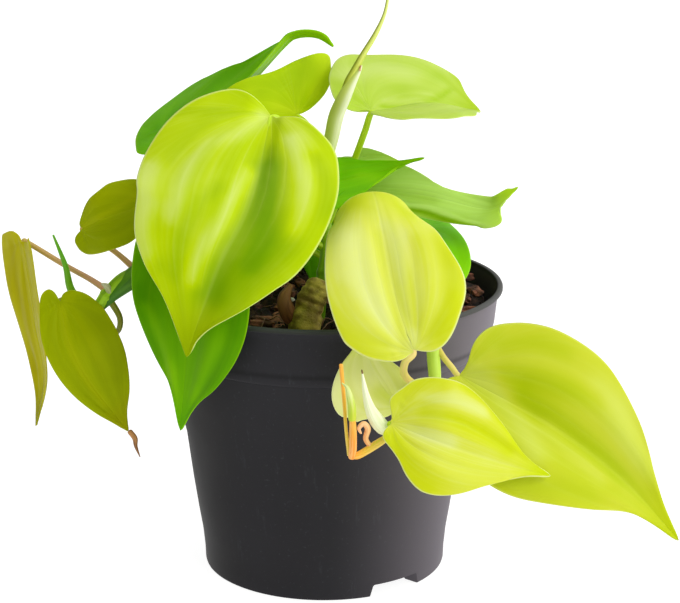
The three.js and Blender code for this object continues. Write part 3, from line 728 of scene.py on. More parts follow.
def makeChips(rnd):
    models = [chipModel(kind) for kind in range(4)]
    chips = []
    for i, point in enumerate(scatter(soil["chips"], rnd, 49, 4)):
        size = (5 + rnd.random() * 5, 2.6 + rnd.random() * 2.4, 1.6 + rnd.random())
        chips.append(strew(models[i % 4], point, 0.5, size, rnd, 1.0))
    spin = random.Random(soil["placedSeed"])
    for x, y, long in soil["placed"]:
        chips.append(strew(models[1], soilTopPoint(x, y), 1.2, (long, long * 0.5, 2.2), spin, 0.6))
    for model in models:
        bpy.data.objects.remove(model)
    return join(chips, "barkChips")


def makeCrumbs(rnd):
    model = crumbModel()
    crumbs = []
    for point in scatter(soil["crumbs"], rnd, 53, 0.5):
        size = 0.4 + rnd.random() ** 2 * 1.3
        crumbs.append(strew(model, point, 0.2, (size, size * 0.8, size * 0.7), rnd, 3))
    grains = []
    for point in scatter(soil["grains"], rnd, 50, 1):
        size = 0.7 + rnd.random() * 0.7
        grains.append(strew(model, point, 0.9, (size, size, size), rnd, 3))
    bpy.data.objects.remove(model)
    return join(crumbs, "soilCrumbs"), join(grains, "whiteGrains")


def makeFibres(rnd):
    fibres = []
    for point in scatter(soil["fibres"], rnd, 49, 1):
        a = rnd.random() * 2 * math.pi
        long = 5 + rnd.random() * 9
        path = []
        for k in range(5):
            s = k / 4 - 0.5
            x = point.x + math.cos(a) * long * s + (rnd.random() - 0.5) * 2.4
            y = point.y + math.sin(a) * long * s + (rnd.random() - 0.5) * 2.4
            r = math.hypot(x, y)
            x, y = (x, y) if r < 53 else (x * 53 / r, y * 53 / r)
            path.append((x, y, soilTopPoint(x, y).z + 0.5 + (1 - 4 * s * s) * rnd.random() * 2.5))
        fibres.append(tube("fibre", path, [0.1, 0.22, 0.12], 10, 5))
    return join(fibres, "rootFibres")


soilLook = soilMaterial()
litter = random.Random(soil["seed"])
dress(makeSoil(), [soilLook], ["soil"])
dress(makeChips(litter), [barkMaterial("barkChip", (150, 94, 68), (66, 38, 26))])
soilCrumbs, whiteGrains = makeCrumbs(litter)
dress(soilCrumbs, [soilLook])
dress(whiteGrains, [plainSkin("perlite", (225, 220, 210), (190, 182, 170), 700.0)])
dress(makeFibres(litter), [plainSkin("dryFibre", (128, 92, 62), (84, 56, 38), 300.0)])
print("soil and litter scattered")

# half outline: along the midrib (0 at the sinus, 1 at the tip) and across it (1 at the widest place)
halfOutline = [
    (0, 0), (-0.075, 0.13), (-0.135, 0.36), (-0.11, 0.64), (0, 0.86), (0.16, 0.985),
    (0.36, 0.985), (0.55, 0.84), (0.72, 0.57), (0.86, 0.25), (1, 0),
]

# colours of the leaves' skins, 0 to 255; band and pale also give the painted shade and painted highlight of
# the folds
skins = {
    "lime": {"leaf": (184, 210, 2), "band": (112, 158, 0), "pale": (226, 238, 160), "tip": (140, 164, 2)},
    "deepLime": {"leaf": (164, 194, 0), "band": (138, 172, 0), "pale": (196, 212, 60), "tip": (150, 178, 4)},
    "yellow": {"leaf": (209, 217, 84), "band": (190, 204, 2), "pale": (224, 232, 172), "tip": (188, 206, 16)},
    "sunny": {"leaf": (190, 199, 68), "band": (162, 186, 4), "pale": (206, 216, 118), "tip": (176, 192, 30)},
    # painted light: lighter than the leaf's own colour, to offset the shadow that leaf_front_middle casts on
    # leaf_front_small
    "shaded": {
        "leaf": (238, 244, 140), "band": (206, 220, 80), "pale": (244, 248, 170), "tip": (226, 236, 100)},
    "pale": {"leaf": (178, 204, 92), "band": (150, 188, 40), "pale": (204, 222, 132), "tip": (160, 190, 50)},
    "green": {"leaf": (100, 176, 0), "band": (78, 150, 0), "pale": (152, 204, 44), "tip": (122, 182, 0)},
    "dark": {"leaf": (94, 162, 0), "band": (64, 132, 0), "pale": (140, 194, 40), "tip": (90, 164, 4)},
    "soft": {"leaf": (182, 224, 108), "band": (110, 160, 2), "pale": (196, 228, 130), "tip": (172, 216, 50)},
    "fresh": {"leaf": (126, 204, 0), "band": (92, 168, 0), "pale": (170, 220, 60), "tip": (130, 204, 0)},
    "olive": {"leaf": (148, 164, 0), "band": (126, 144, 0), "pale": (176, 182, 34), "tip": (144, 148, 2)},
    "brown": {"leaf": (182, 178, 26), "band": (160, 152, 22), "pale": (188, 184, 64), "tip": (150, 148, 22)},
}
# two values: one for each half. quilt, trough, calm: folds of the blade; veins to glow: its pattern and shine
leafDefaults = {
    "fold": (8, 8), "curl": (-10, -10), "roll": (0, 0), "drop": (0, 0), "lobe": (1, 1), "hip": (0, 0),
    "lean": (0, 0), "bend": 0.12, "trim": [(), ()], "quilt": 0.3, "trough": 0.3, "calm": 0.75,
    "veins": 7.0, "lines": 0.14, "bands": 0.3, "blotch": 0.1, "rim": 0.5, "glow": 0.1,
}

leaves = {
    "leaf_front_large": {
        "rib": [(-16.5, -20, 157.5), (-23, -50, 135), (-32, -62, 118), (-41.5, -66, 91)],
        "stalk": [(-12.5, -10, 153), (-6, -3, 140), (0.5, 0, 126)],
        "face": [(-0.1, -0.8, 0.6)] * 2, "wide": (26.5, 38), "fold": (10, 10), "curl": (-25, -25),
        "drop": (-24, -16), "bend": 0.2, "lobe": (0.7, 0.9), "hip": (0.06, 0.05), "lean": (-0.16, -0.05),
        "slot": "lime", "skin": "lime", "quilt": 0.1, "trough": 0.4, "bands": 0.2,
        "trim": [(6, 4, 8, 12, 4, 4, -6, 0, -4, 0, 0, -10), (2, -2, 4, 0, 4, 4, 6, -4, 0, 0, -4, 6)]},
    "leaf_top_middle": {
        "rib": [(-9, 6, 153.5), (-24, -4, 156), (-38.5, -8, 151)],
        "stalk": [(-5, 9, 149), (-1.5, 8, 141), (0, 2, 132)],
        "face": [(0.1, -0.8, 0.6)] * 2, "wide": (16, 22.5), "fold": (-15, 10), "curl": (-20, -10),
        "lobe": (1, 0.8), "hip": (-0.25, -0.25), "lean": (0, 0.6), "slot": "lime", "skin": "deepLime",
        "quilt": 0.4,
        "trim": [(), (-2, -4, 0, -10, -6, 6, -12, 4, -10, -4, 6, 10)]},
    "leaf_top_left": {
        "rib": [(-50.5, 4, 141.5), (-28, 14, 160), (-13.5, 18, 175), (-9, 18, 178), (-2, 17, 177.8),
            (3.5, 16, 174.4)],
        "stalk": [(-46, 9, 134), (-25, 10, 124), (0.5, -1, 118)],
        "face": [(-0.6, -0.5, 0.8), (-0.56, -0.46, 0.8), (-0.52, -0.42, 0.8), (-0.46, -0.36, 0.82),
            (-0.14, 0.02, 1), (0, 0.45, 0.86)],
        "wide": (27, 12), "fold": (0, 40), "drop": (-20, -20), "lobe": (0.8, 1), "hip": (-0.15, -0.15),
        "slot": "green", "skin": "green", "quilt": 0.5, "trough": 0.5,
        "trim": [(-4, 4, 2, 4, 0, 12, 4, 24, -4, -22, 6, -8), (0, 0, 0, 0, 0, 0, 0, 0, 0, -8, 6, 2)]},
    "leaf_top_right": {
        "rib": [(15.5, 0, 155.5), (34, 12, 156.5), (53, 20, 152)],
        "stalk": [(13.5, 1, 148.5), (9.5, 2, 137.5), (0.7, -1.5, 117)],
        "face": [(0, 0, 1)] * 2, "wide": (30, 18), "fold": (35, 5), "curl": (-15, -20), "lobe": (1.5, 0.2),
        "hip": (0.35, 0.1), "slot": "pale", "skin": "pale", "quilt": 0.4, "trough": 0.4,
        "trim": [(-6, -4, 4, 0, 8, 8, -12, -4, 6, -4, -4, 4), (-2, 0, 0, -4, 6, -2, 10, 14, 8, 6, 2, 0)]},
    "leaf_middle_dark": {
        "rib": [(-12.5, -12, 132), (8.5, -10, 135), (23.5, -6, 138.5), (33.5, -4, 141)],
        "stalk": [(-15, -10, 128), (-10, -5, 118), (1, -4, 110)],
        "face": [(0, -0.7, 0.7)] * 2, "wide": (8, 20), "fold": (10, 10), "slot": "green", "skin": "green",
        "trim": [(0, 0, 0, 0, 0, 0, 6, 12, -6, -4, -8, 6), (0, 0, 0, 0, 0, 0, -28, -26, -10, -32, -8, -18)]},
    "leaf_middle_right": {
        "rib": [(13, 1, 129.5), (32.5, -8, 129.2), (49.5, -14, 126.5), (56.5, -18, 128), (63, -18, 134.5)],
        "stalk": [(11.5, 4.5, 127), (9.5, 4, 118), (1, -7, 102)],
        "face": [(0, -0.5, 0.85)] * 2, "wide": (10, 9), "fold": (25, -10), "curl": (-10, -30),
        "lobe": (0.8, 0.6), "hip": (-0.45, 0.15), "slot": "pale", "skin": "soft", "quilt": 0.12,
        "trough": 0.2, "bands": 0.12,
        "trim": [(8, -2, 10, -20, 2, -2, 4, 12, -2, -22, 12, 16),
            (0, 0, 2, 0, 2, 2, 24, -22, 8, 16, -6, -28)]},
    "leaf_front_middle": {
        "rib": [(27.5, -76, 96), (22.5, -68, 110), (19, -52, 125), (16, -34, 135.5), (15, -20, 128.5)],
        "stalk": [(25, -76, 93), (24.8, -74, 88.5), (28.4, -71.5, 84.4), (33.5, -69.5, 84)],
        "face": [(0, -0.8, 0.5), (0, -0.75, 0.6), (0, -0.4, 0.9), (0, -0.05, 1)], "wide": (24.5, 19.5),
        "roll": (88, 66), "curl": (-20, -20), "drop": (-10, -10), "lobe": (0.3, 0.9), "hip": (0.15, 0.1),
        "lean": (-0.2, -0.12), "slot": "yellow", "skin": "yellow", "quilt": 0.4, "trough": 0.6, "calm": 0.4,
        "glow": 0.35, "leaf": (214, 221, 100),
        "trim": [(-2, 8, -4, -2, -4, -8, 2, -28, 6, 4, -8, 0),
            (6, -12, 4, 2, 6, 22, 6, -16, 12, -12, -2, -6)]},
    "leaf_behind_middle": {
        "rib": [(25.5, -5, 115.5), (33, -20, 111.5), (37.5, -35, 97.5)],
        "stalk": [(23, 2, 114), (19, 2, 104), (12, -8, 95)],
        "face": [(0.2, -0.7, 0.7)] * 2, "wide": (18, 20), "curl": (-20, -20), "slot": "green",
        "skin": "fresh", "quilt": 0.4, "trough": 0.4,
        "trim": [(0, 0, -12, 6, -16, 4, 0, -8, 2, 0, 0, 0), ()]},
    "leaf_front_small": {
        "rib": [(23, -70, 77), (16, -68, 87.5), (12, -66, 99)],
        "stalk": [(25, -71, 74), (31, -78, 76)],
        "face": [(-0.2, -0.9, 0.3)] * 2, "wide": (18, 8), "lobe": (0.3, 0.2), "hip": (-0.1, -0.1),
        "slot": "pale", "skin": "shaded", "trough": 0.2,
        "trim": [(-2, 4, 14, 6, 14, -16, 6, -6, 0, -2, 0, 0), ()]},
    "leaf_front_low": {
        "rib": [(20.5, -92, 79), (34.5, -97, 75), (52.5, -94, 67.5), (68.5, -88, 61)],
        "stalk": [(20.5, -90.5, 78), (24, -85.5, 74)],
        "face": [(-0.1, -0.8, 0.6)] * 2, "wide": (18.5, 14.5), "fold": (10, 10), "curl": (-30, -20),
        "drop": (-20, -20), "lobe": (1.1, 0.6), "hip": (-0.1, -0.2), "lean": (0, -0.2), "slot": "yellow",
        "skin": "yellow", "quilt": 0.5, "trough": 0.6, "leaf": (202, 209, 74),
        "trim": [(6, 0, 10, 2, 2, 4, 4, 12, 0, 0, -2, -2), (0, 14, 8, 6, 4, 12, -6, 8, -6, -4, -4, -4)]},
    "leaf_right_large": {
        "rib": [(42, -66, 85.5), (69, -75, 73), (92, -77, 55.5), (110, -76, 35)],
        "stalk": [(39.5, -67, 88.5), (36, -66, 93), (32, -58, 99.5)],
        "face": [(0.1, -0.8, 0.6)] * 2, "wide": (27, 25), "fold": (15, 15), "curl": (-25, -25),
        "drop": (-20, -20), "lobe": (0.4, 0.4), "hip": (-0.18, -0.15), "lean": (-0.08, 0), "slot": "lime",
        "skin": "sunny", "trough": 0.5,
        "trim": [(2, 2, 0, 4, 4, 4, 4, 4, -4, 6, -4, 0), (0, 0, 0, 0, 0, 0, 4, 10, 0, 4, -4, 0)]},
    "leaf_left_edge": {
        "rib": [(-102.5, 9, 109.5), (-99, 7, 82.5), (-97, 9, 62), (-100.5, 11, 42.5)],
        "stalk": [(-99.5, 9, 108.5), (-86.5, -2, 104), (-77, -11, 101.5), (-70, -18, 99)],
        "face": [(-0.75, -0.6, 0.2)] * 2, "wide": (9, 11), "fold": (15, 10), "curl": (0, 0),
        "lobe": (0, 0.4), "hip": (-0.1, -0.1), "slot": "olive", "skin": "brown", "trough": 0.2,
        "trim": [(0, 0, 0, 0, -4, 6, -4, 18, 4, 2, 0, 0), (0, -2, 0, 0, -4, 10, -4, -6, -4, 6, 4, 2)]},
    "leaf_left": {
        "rib": [(-86, -20, 96.5), (-82.5, -26, 83.5), (-76.5, -26, 70.5), (-64.5, -24, 53)],
        "stalk": [(-85, -16, 95), (-76, -12, 86), (-69, -14, 84), (-67, -17, 90), (-71, -18, 98)],
        "face": [(0.1, -0.9, 0.3)] * 2, "wide": (15, 9), "lobe": (0.45, 0.6), "hip": (0.1, -0.05),
        "lean": (-0.05, 0), "slot": "olive", "skin": "olive",
        "trim": [(-2, -2, 0, -4, 8, 8, 2, 6, 0, 4, 0, 0), (-2, 0, 0, 0, 4, -6, 0, -6, 2, -2, 4, 0)]},
    "leaf_left_upper": {
        "rib": [(-79.5, -8, 118), (-70, -12, 123), (-53.5, -10, 128)],
        "stalk": [(-77.5, -5, 115), (-69, -6, 109.5), (-60, -15.5, 104.5)],
        "face": [(0.2, -0.8, 0.5)] * 2, "wide": (12, 10.5), "curl": (-15, -15), "lobe": (0.1, 0.8),
        "hip": (0.25, 0.15), "lean": (-0.2, 0), "slot": "olive", "skin": "olive", "trough": 0.2,
        "trim": [(-4, 0, -2, -8, 8, -14, -6, -8, 2, -2, 0, 0), (-4, 2, 0, 0, 0, 2, 4, 6, 2, 2, 0, 0)]},
    "leaf_front_left": {
        "rib": [(-45, -38, 126.5), (-42, -52, 99.5), (-45, -52, 62.5)],
        "stalk": [(-43, -34, 127), (-40, -24, 118), (-45, -11, 98)],
        "face": [(-0.3, -0.85, 0.3)] * 2, "wide": (21, 17.5), "lobe": (0.8, 0.8), "hip": (0.08, -0.12),
        "slot": "green", "skin": "dark", "quilt": 0.5, "trough": 0.5,
        "trim": [(0, 0, 0, 0, 0, 0, 2, 4, 0, -4, -4, 2), (0, 0, 2, -2, 4, 0, 0, 4, 0, 4, -4, 0)]},
    "leaf_centre_low": {
        "rib": [(3.5, 25, 120.5), (0.5, 15, 108.5), (-3.5, 5, 94)],
        "stalk": [(4.5, 28.5, 120), (3.5, 30.5, 110), (1, 29, 95), (0, 27, 82)],
        "face": [(0, -0.8, 0.5)] * 2, "wide": (14, 14), "slot": "green", "skin": "dark"},
    "leaf_centre_high": {
        "rib": [(4, 17, 131), (13, 20, 135), (21, 22, 135.5), (27.5, 23, 134)],
        "stalk": [(1.5, 15, 129.5), (-1, 9, 127), (0.3, 1, 128)],
        "face": [(0, -0.7, 0.7)] * 2, "wide": (8, 9), "slot": "pale", "skin": "soft",
        "trim": [(0, 0, 0, 0, -4, -6, 2, -74, -20, 4, -4, -16), ()]},
    "leaf_back_high": {
        "rib": [(-15, 22, 138), (-19, 46, 128), (-22, 61, 102)],
        "stalk": [(-12, 18, 137), (-7, 8, 134), (0.2, 1.5, 130)],
        "face": [(0, 0.7, 0.7)] * 2, "wide": (20, 20), "fold": (10, 10), "curl": (-20, -20), "slot": "lime",
        "skin": "lime", "quilt": 0.5, "trough": 0.5},
    "leaf_back_left": {
        "rib": [(-34, 22, 128), (-44, 44, 116), (-48, 60, 88)],
        "stalk": [(-30, 17, 126), (-14, 4, 114), (1, -5, 107)],
        "face": [(-0.2, 0.7, 0.6)] * 2, "wide": (17, 17), "fold": (10, 10), "curl": (-20, -20),
        "slot": "green", "skin": "green", "quilt": 0.5, "trough": 0.5},
    "leaf_back_right": {
        "rib": [(24, 30, 116), (32, 50, 102), (36, 64, 78)],
        "stalk": [(21, 25, 115), (14, 10, 104), (11, -4, 92)],
        "face": [(0.3, 0.7, 0.6)] * 2, "wide": (15, 15), "fold": (10, 10), "curl": (-20, -20),
        "slot": "lime", "skin": "lime", "quilt": 0.5, "trough": 0.5},
    "leaf_back_low": {
        "rib": [(4, 60, 107), (2, 89, 93), (0, 104.5, 59)],
        "stalk": [(4.5, 56, 108), (6, 46, 101), (6.5, 37, 82)],
        "face": [(0, 0.7, 0.6)] * 2, "wide": (19, 19), "fold": (10, 10), "curl": (-20, -20), "slot": "pale",
        "skin": "pale", "quilt": 0.5, "trough": 0.5},
}

# painted highlight (+) and painted shade (-) of a leaf's folds, which also lift and sink the blade a little:
# strength, half width in mm, then places along and across in hundredths of its length and half width
strokes = {
    "leaf_front_large": [
        (-0.6, 4.2, (26, 8), (40, 6), (51, 0), (65, 0), (76, -2)),
        (-0.46, 3.4, (17, 9), (31, 19), (42, 26), (52, 33), (61, 34)),
        (0.68, 2.6, (13, 33), (24, 52), (32, 61), (40, 64), (46, 64)),
        (-0.34, 3, (20, 61), (26, 78), (33, 90), (39, 94)),
        (0.68, 2, (28, -7), (40, -13), (51, -13), (60, -16), (68, -17), (74, -15)),
        (-0.31, 2.2, (38, -26), (46, -37), (61, -36), (69, -32), (75, -31)),
        (0.48, 2.2, (3, -7), (12, -23), (18, -44), (28, -56), (43, -59), (58, -55)),
        (-0.17, 3, (-1, -29), (6, -51), (18, -66), (27, -74)),
        (0.61, 3.4, (30, -91), (53, -86), (64, -73), (70, -60)),
        (-0.34, 2.6, (61, -64), (67, -58), (73, -46)),
        (-0.48, 6, (76, 23), (63, 44), (51, 59)),
        (-0.2, 5, (22, 16), (36, 20), (50, 20)),
        (-0.2, 8, (40, 50), (60, 40), (80, 15)),
        (0.27, 1.6, (0, -8), (2, 12), (8, 41), (16, 62)),
    ],
    "leaf_front_middle": [
        (-0.35, 1.8, (4, 8), (23, 5), (45, 8), (59, 12), (68, 9)),
        (-0.25, 1.6, (7, 7), (27, -4), (47, 3), (54, 5)),
        (-0.35, 1.8, (11, -14), (25, -27), (39, -41), (49, -49)),
        (0.35, 5, (6, 15), (16, 26), (34, 38), (55, 44)),
        (-0.25, 7, (15, -60), (35, -70), (55, -55)),
        (-0.3, 1.8, (8, 28), (19, 48), (30, 65)),
        (0.35, 5, (9, -3), (26, -13), (46, -17), (58, -15)),
        (0.15, 6, (25, 60), (38, 62), (50, 55)),
        (0.2, 6, (20, -50), (35, -50), (50, -40)),
        (-0.6, 4, (47, -98), (27, -100), (9, -80), (3, -45)),
        (-0.6, 4, (31, 100), (17, 85), (7, 62), (2, 36)),
        (-0.8, 4.5, (75, 20), (78, 5), (76, -25), (66, -45)),
    ],
    "leaf_front_low": [
        (0.45, 1.8, (1, -6), (12, -2), (23, 2), (35, 6)),
        (0.15, 6.5, (28, -46), (41, -40), (57, -21)),
        (-0.9, 2.2, (15, 38), (32, 44), (51, 41), (70, 24)),
        (-0.7, 3.4, (2, -26), (11, -54), (21, -90), (29, -100)),
        (-0.5, 3.4, (0, 41), (3, 73), (15, 95)),
        (0.5, 3.2, (8, 57), (28, 70), (48, 72)),
        (-0.7, 1.2, (32, 109), (51, 89), (67, 55), (81, 23)),
    ],
    "leaf_right_large": [
        (-0.78, 3.4, (23, 10), (33, 8), (45, 3), (61, 3), (76, 7)),
        (-0.55, 2.8, (15, 22), (24, 34), (37, 44), (44, 52)),
        (-0.4, 2.6, (8, 53), (17, 73), (27, 82)),
        (0.65, 3, (3, 8), (13, 6), (26, -18), (36, -45)),
        (0.6, 4, (44, 65), (53, 57), (64, 32), (75, 13)),
        (0.5, 2.6, (36, -6), (48, -14), (60, -20)),
        (-0.4, 4, (31, -98), (43, -78), (60, -47)),
    ],
    "leaf_top_right": [
        (-0.8, 0.8, (12, 5), (29, -4), (47, -14), (66, 12), (78, 29)),
        (0.6, 4, (4, 64), (33, 65), (51, 42)),
        (-0.4, 3, (-11, 52), (-13, 27), (-4, 14)),
        (-0.4, 3, (37, 23), (54, 32), (73, 52)),
        (0.4, 0.9, (18, 11), (39, 6), (60, 15)),
    ],
    "leaf_top_middle": [
        (0.5, 2, (1, -4), (13, -6), (25, -7)),
        (0.4, 3, (-46, -88), (-43, -59), (-29, -34)),
        (-0.5, 3, (-15, -73), (8, -55), (36, -34)),
    ],
    "leaf_top_left": [
        (0.7, 1.2, (45, -52), (57, -40), (70, -40), (77, -20)),
        (-0.5, 3, (-2, 57), (19, 65), (39, 62), (57, 39)),
    ],
    "leaf_middle_dark": [
        (0.4, 2.5, (54, 11), (61, -10)),
        (-0.4, 2.5, (48, 63), (65, 26), (82, 6)),
    ],
    "leaf_middle_right": [
        (0.8, 0.6, (23, -51), (31, -49), (44, -44), (59, -55), (75, -70), (80, -85)),
        (-1, 1.4, (30, -60), (46, -65), (55, -70), (65, -70), (74, -84)),
        (-0.4, 2.5, (3, -3), (2, 34)),
        (-0.3, 2, (13, 5), (27, -4), (44, -12)),
    ],
    "leaf_front_small": [
        (-0.6, 2.2, (26, 11), (13, 3)),
        (0.5, 1.5, (60, 63), (48, 79), (35, 82)),
    ],
    "leaf_left_edge": [
        (0.9, 0.7, (3, 10), (16, 1), (33, 5), (50, 24)),
        (-0.6, 1.6, (2, -49), (20, -54), (43, -41), (70, -40)),
    ],
    "leaf_left": [
        (0.5, 1, (5, 1), (28, -4), (49, -3), (75, -7)),
        (0.3, 1.6, (-1, 18), (24, 52), (58, 54)),
        (-0.3, 2.5, (6, 41), (31, 80), (65, 62)),
    ],
    "leaf_left_upper": [
        (0.5, 1, (5, 4), (31, 8), (57, 18), (73, 29)),
        (0.35, 2, (20, 52), (46, 59), (71, 52)),
        (-0.35, 3, (9, -49), (38, -52), (62, -40)),
    ],
    "leaf_front_left": [
        (0.7, 1.5, (38, -77), (55, -54), (70, -26), (89, -4)),
        (0.5, 2.4, (52, 57), (66, 36), (82, 18)),
        (-0.6, 2.4, (27, -89), (49, -78), (64, -51)),
        (-0.4, 3, (48, 80), (58, 64), (74, 35)),
    ],
    "leaf_behind_middle": [
        (-0.5, 3, (4, 78), (35, 71), (53, 65)),
    ],
}
# places from sinus to tip where "trim" moves a margin along and across, also in hundredths
trimAt = (0.12, 0.28, 0.44, 0.6, 0.76, 0.9)
leafMake = {"rows": 56, "columns": 28, "thick": 0.75, "edge": 0.45, "ripple": 0.35, "lift": 0.3}


def marginPoint(u, lobe, hip, lean):
    p = through(halfOutline, u)
    inside = min(max(p[0], 0), 1)
    along = p[0] * lobe if p[0] < 0 else p[0] + hip * inside * (1 - inside) * 2.2
    return along - lean * p[1] * (1 - u ** 3), p[1]


def ribCurve(leaf):
    steps = 80
    points = [through(leaf["rib"], i / steps) for i in range(steps + 1)]
    run = [0]
    for a, b in zip(points, points[1:]):
        run.append(run[-1] + (b - a).length)

    def slope(j):
        return points[min(j + 1, steps)] - points[max(j - 1, 0)]

    def at(x):
        s = min(max(x, 0), 1) * run[-1]
        i = 1
        while i < steps and run[i] < s:
            i += 1
        f = (s - run[i - 1]) / (run[i] - run[i - 1])
        return points[i - 1].lerp(points[i], f), slope(i - 1).lerp(slope(i), f).normalized()

    return at, run[-1]


def leafSpot(leaf, u, v):
    # where a grid point lies on the leaf: along the midrib and across it
    side, w = (0, v) if v >= 0 else (1, -v)
    along, across = marginPoint(u, leaf["lobe"][side], leaf["hip"][side], leaf["lean"][side])
    trim = leaf["trim"][side]
    for k, centre in enumerate(trimAt if trim else ()):
        near = math.exp(-(((u - centre) / 0.1) ** 2)) * smooth(0, 0.06, u) * smooth(1, 0.94, u) / 100
        along, across = along + trim[2 * k] * near, across + trim[2 * k + 1] * near
    return u * (1 - w) + along * w, across * w


def fanPlace(along, across):
    # the same all along one bowed vein: 0 on the midrib, about 0.5 at the margin, 1 and more in the lobes
    x = min(max(along, 0), 1)
    bow = 4.2 * x ** 0.85 * (1 - x) ** 1.4
    return across / (across + bow + 0.0001) + 0.5 * math.atan2(max(-along, 0), across + 0.0001)


def shadeAt(leaf, along, across, size):
    # strength of the painted highlight (+) and painted shade (-) of the folds at one place of a leaf
    here = Vector((along * size, across * leaf["wide"][0 if across >= 0 else 1]))
    total = 0
    for strength, width, *places in leaf["strokes"]:
        line = [Vector((a * size, b * leaf["wide"][0 if b >= 0 else 1])) / 100 for a, b in places]
        nearest = 1e9
        for p, q in zip(line, line[1:]):
            f = min(max((here - p).dot(q - p) / max((q - p).length_squared, 1e-6), 0), 1)
            nearest = min(nearest, (p.lerp(q, f) - here).length_squared)
        total += strength * math.exp(-nearest / (1.25 * width) ** 2)
    return min(max(total, -1), 1)


def relief(leaf, along, across, v, size):
    # folds that fan from the sinus, the trough along the midrib and slow ripples, in mm on a 50 mm leaf
    side, way, w = (0, 1, v) if v >= 0 else (1, -1, -v)
    folds = math.sin(math.pi * (4.5 * fanPlace(along, across) + leaf["seed"])) ** 2 - 0.5
    inside = (1 - 0.85 * smooth(0.7, 1.0, w)) * smooth(leaf["calm"] + 0.25, leaf["calm"], along)
    lift = leaf["quilt"] * folds * smooth(0.02, 0.3, across)
    lift += shadeAt(leaf, along, across * way, size) * leafMake["lift"]
    lift -= leaf["trough"] * math.exp(-((across * leaf["wide"][side] / (0.09 * size)) ** 2))
    slow = noise.noise(Vector((along * 2.1, across * 1.7 * way, leaf["seed"]))) * leafMake["ripple"]
    edge = math.sin(2 * math.pi * (2.2 * along + leaf["seed"] * 0.37)) * 0.35 * w ** 4
    return (lift * inside + slow + edge) * smooth(0, 0.2, math.hypot(along, across)) * (size / 50)


def leafPoints(leaf):
    ribAt, length = ribCurve(leaf)
    faces = [Vector(f).normalized() for f in leaf["face"]]

    def place(u, v):
        side = 0 if v >= 0 else 1
        along, across = leafSpot(leaf, u, v)
        soft = leaf["bend"] * smooth(0, 0.2, across)
        front = (along + math.sqrt(along * along + soft * soft)) / 2
        point, ahead = ribAt(front)
        up = through(faces, min(max(along, 0), 1))
        up = (up - ahead * up.dot(ahead)).normalized()
        sideways = up.cross(ahead) * (1 if v >= 0 else -1)
        rolled = smooth(0.5, 0.78, along) if leaf["roll"][side] else 0
        fold = math.radians(leaf["fold"][side] * (1 - rolled))
        curl = math.radians((leaf["curl"][side] or 0.01) - leaf["roll"][side] * rolled)
        drop = math.radians(leaf["drop"][side])
        radius = leaf["wide"][side] / curl
        out = radius * (math.sin(fold + curl * across) - math.sin(fold))
        lift = -radius * (math.cos(fold + curl * across) - math.cos(fold))
        behind = (along - front) * length
        lift += relief(leaf, along, across, v, length)
        height = behind * math.sin(drop) + lift
        return point + ahead * behind * math.cos(drop) + up * height + sideways * out

    return place


# painted highlight and painted shade of the folds, kept per point in the shade attribute
def paintFoldShading(piece, leaf):
    size = ribCurve(leaf)[1]
    shade = piece.data.attributes.new("shade", "FLOAT", "POINT")
    spots = piece.data.uv_layers["place"].data
    for loop in piece.data.loops:
        shade.data[loop.vertex_index].value = shadeAt(leaf, *spots[loop.index].uv, size)


def thinEdge(piece):
    body = piece.vertex_groups.new(name="body")
    grid = piece.data.uv_layers[0].data
    weights = {}
    for loop in piece.data.loops:
        fromRib = abs(grid[loop.index].uv.y * 2 - 1)
        weights[loop.vertex_index] = 1 - 0.9 * smooth(0.8, 1, fromRib)
    for index, weight in weights.items():
        body.add([index], weight, "REPLACE")


def makeLeaf(name, leaf):
    def spot(u, v):
        along, across = leafSpot(leaf, u, v)
        return along, across if v >= 0 else -across

    rows, columns = leafMake["rows"], leafMake["columns"]
    piece = gridPiece(name.replace("leaf_", "blade_"), rows, columns, leafPoints(leaf), spot)
    paintFoldShading(piece, leaf)
    thinEdge(piece)
    mergeDoubles(piece, 0.004, outward=False)
    for ending, under in (("_skin", False), ("_underside", True)):
        piece.data.materials.append(leafMaterial(name + ending, leaf, under))
    modify(piece, "SOLIDIFY", thickness=leafMake["thick"] * mm, offset=0, material_offset=1,
        vertex_group="body", thickness_vertex_group=leafMake["edge"])
    modify(piece, "SUBSURF", levels=1, render_levels=1)
    bpy.ops.object.shade_smooth()
    return dress(piece, [], [name])


stalkLooks = {  # leaf end, stem end, streaks, strength
    "lime": ((180, 214, 6), (160, 200, 2), (206, 226, 80)),
    "green": ((112, 150, 14), (96, 132, 14), (140, 160, 30)),
    "pink": ((190, 164, 84), (196, 150, 104), (164, 150, 44), 0.6),
    "olive": ((124, 136, 22), (110, 124, 16), (164, 150, 60), 0.6),
    "cream": ((222, 214, 120), (208, 196, 84), (236, 190, 130), 0.6),
}
stalkSkins = {key: grainSkin(key + "Stalk", *look) for key, look in stalkLooks.items()}
stalkKinds = {
    "leaf_left_edge": "pink", "leaf_left_upper": "pink", "leaf_front_middle": "cream", "leaf_left": "olive",
    "leaf_right_large": "cream", "leaf_front_left": "green", "leaf_centre_low": "green",
}
stalkMake = {"sunk": 0.7, "radii": [0.35, 0.85, 0.95, 0.95, 1.2]}
thickStalks = {"leaf_top_right": 1.2, "leaf_front_middle": 1.25}


def makeStalk(name, leaf):
    # the first points lie just below the blade
    below = -stalkMake["sunk"] * Vector(leaf["face"][0]).normalized()
    path = [through(leaf["rib"], 0.06) + below * 0.8, Vector(leaf["rib"][0]) + below]
    path = [tuple(p) for p in path] + leaf["stalk"]
    radii = [r * thickStalks.get(name, 1) for r in stalkMake["radii"]]
    piece = tube(name.replace("leaf_", "stalk_"), path, radii, 48)
    return dress(piece, [stalkSkins[stalkKinds.get(name, "lime")]], [name])


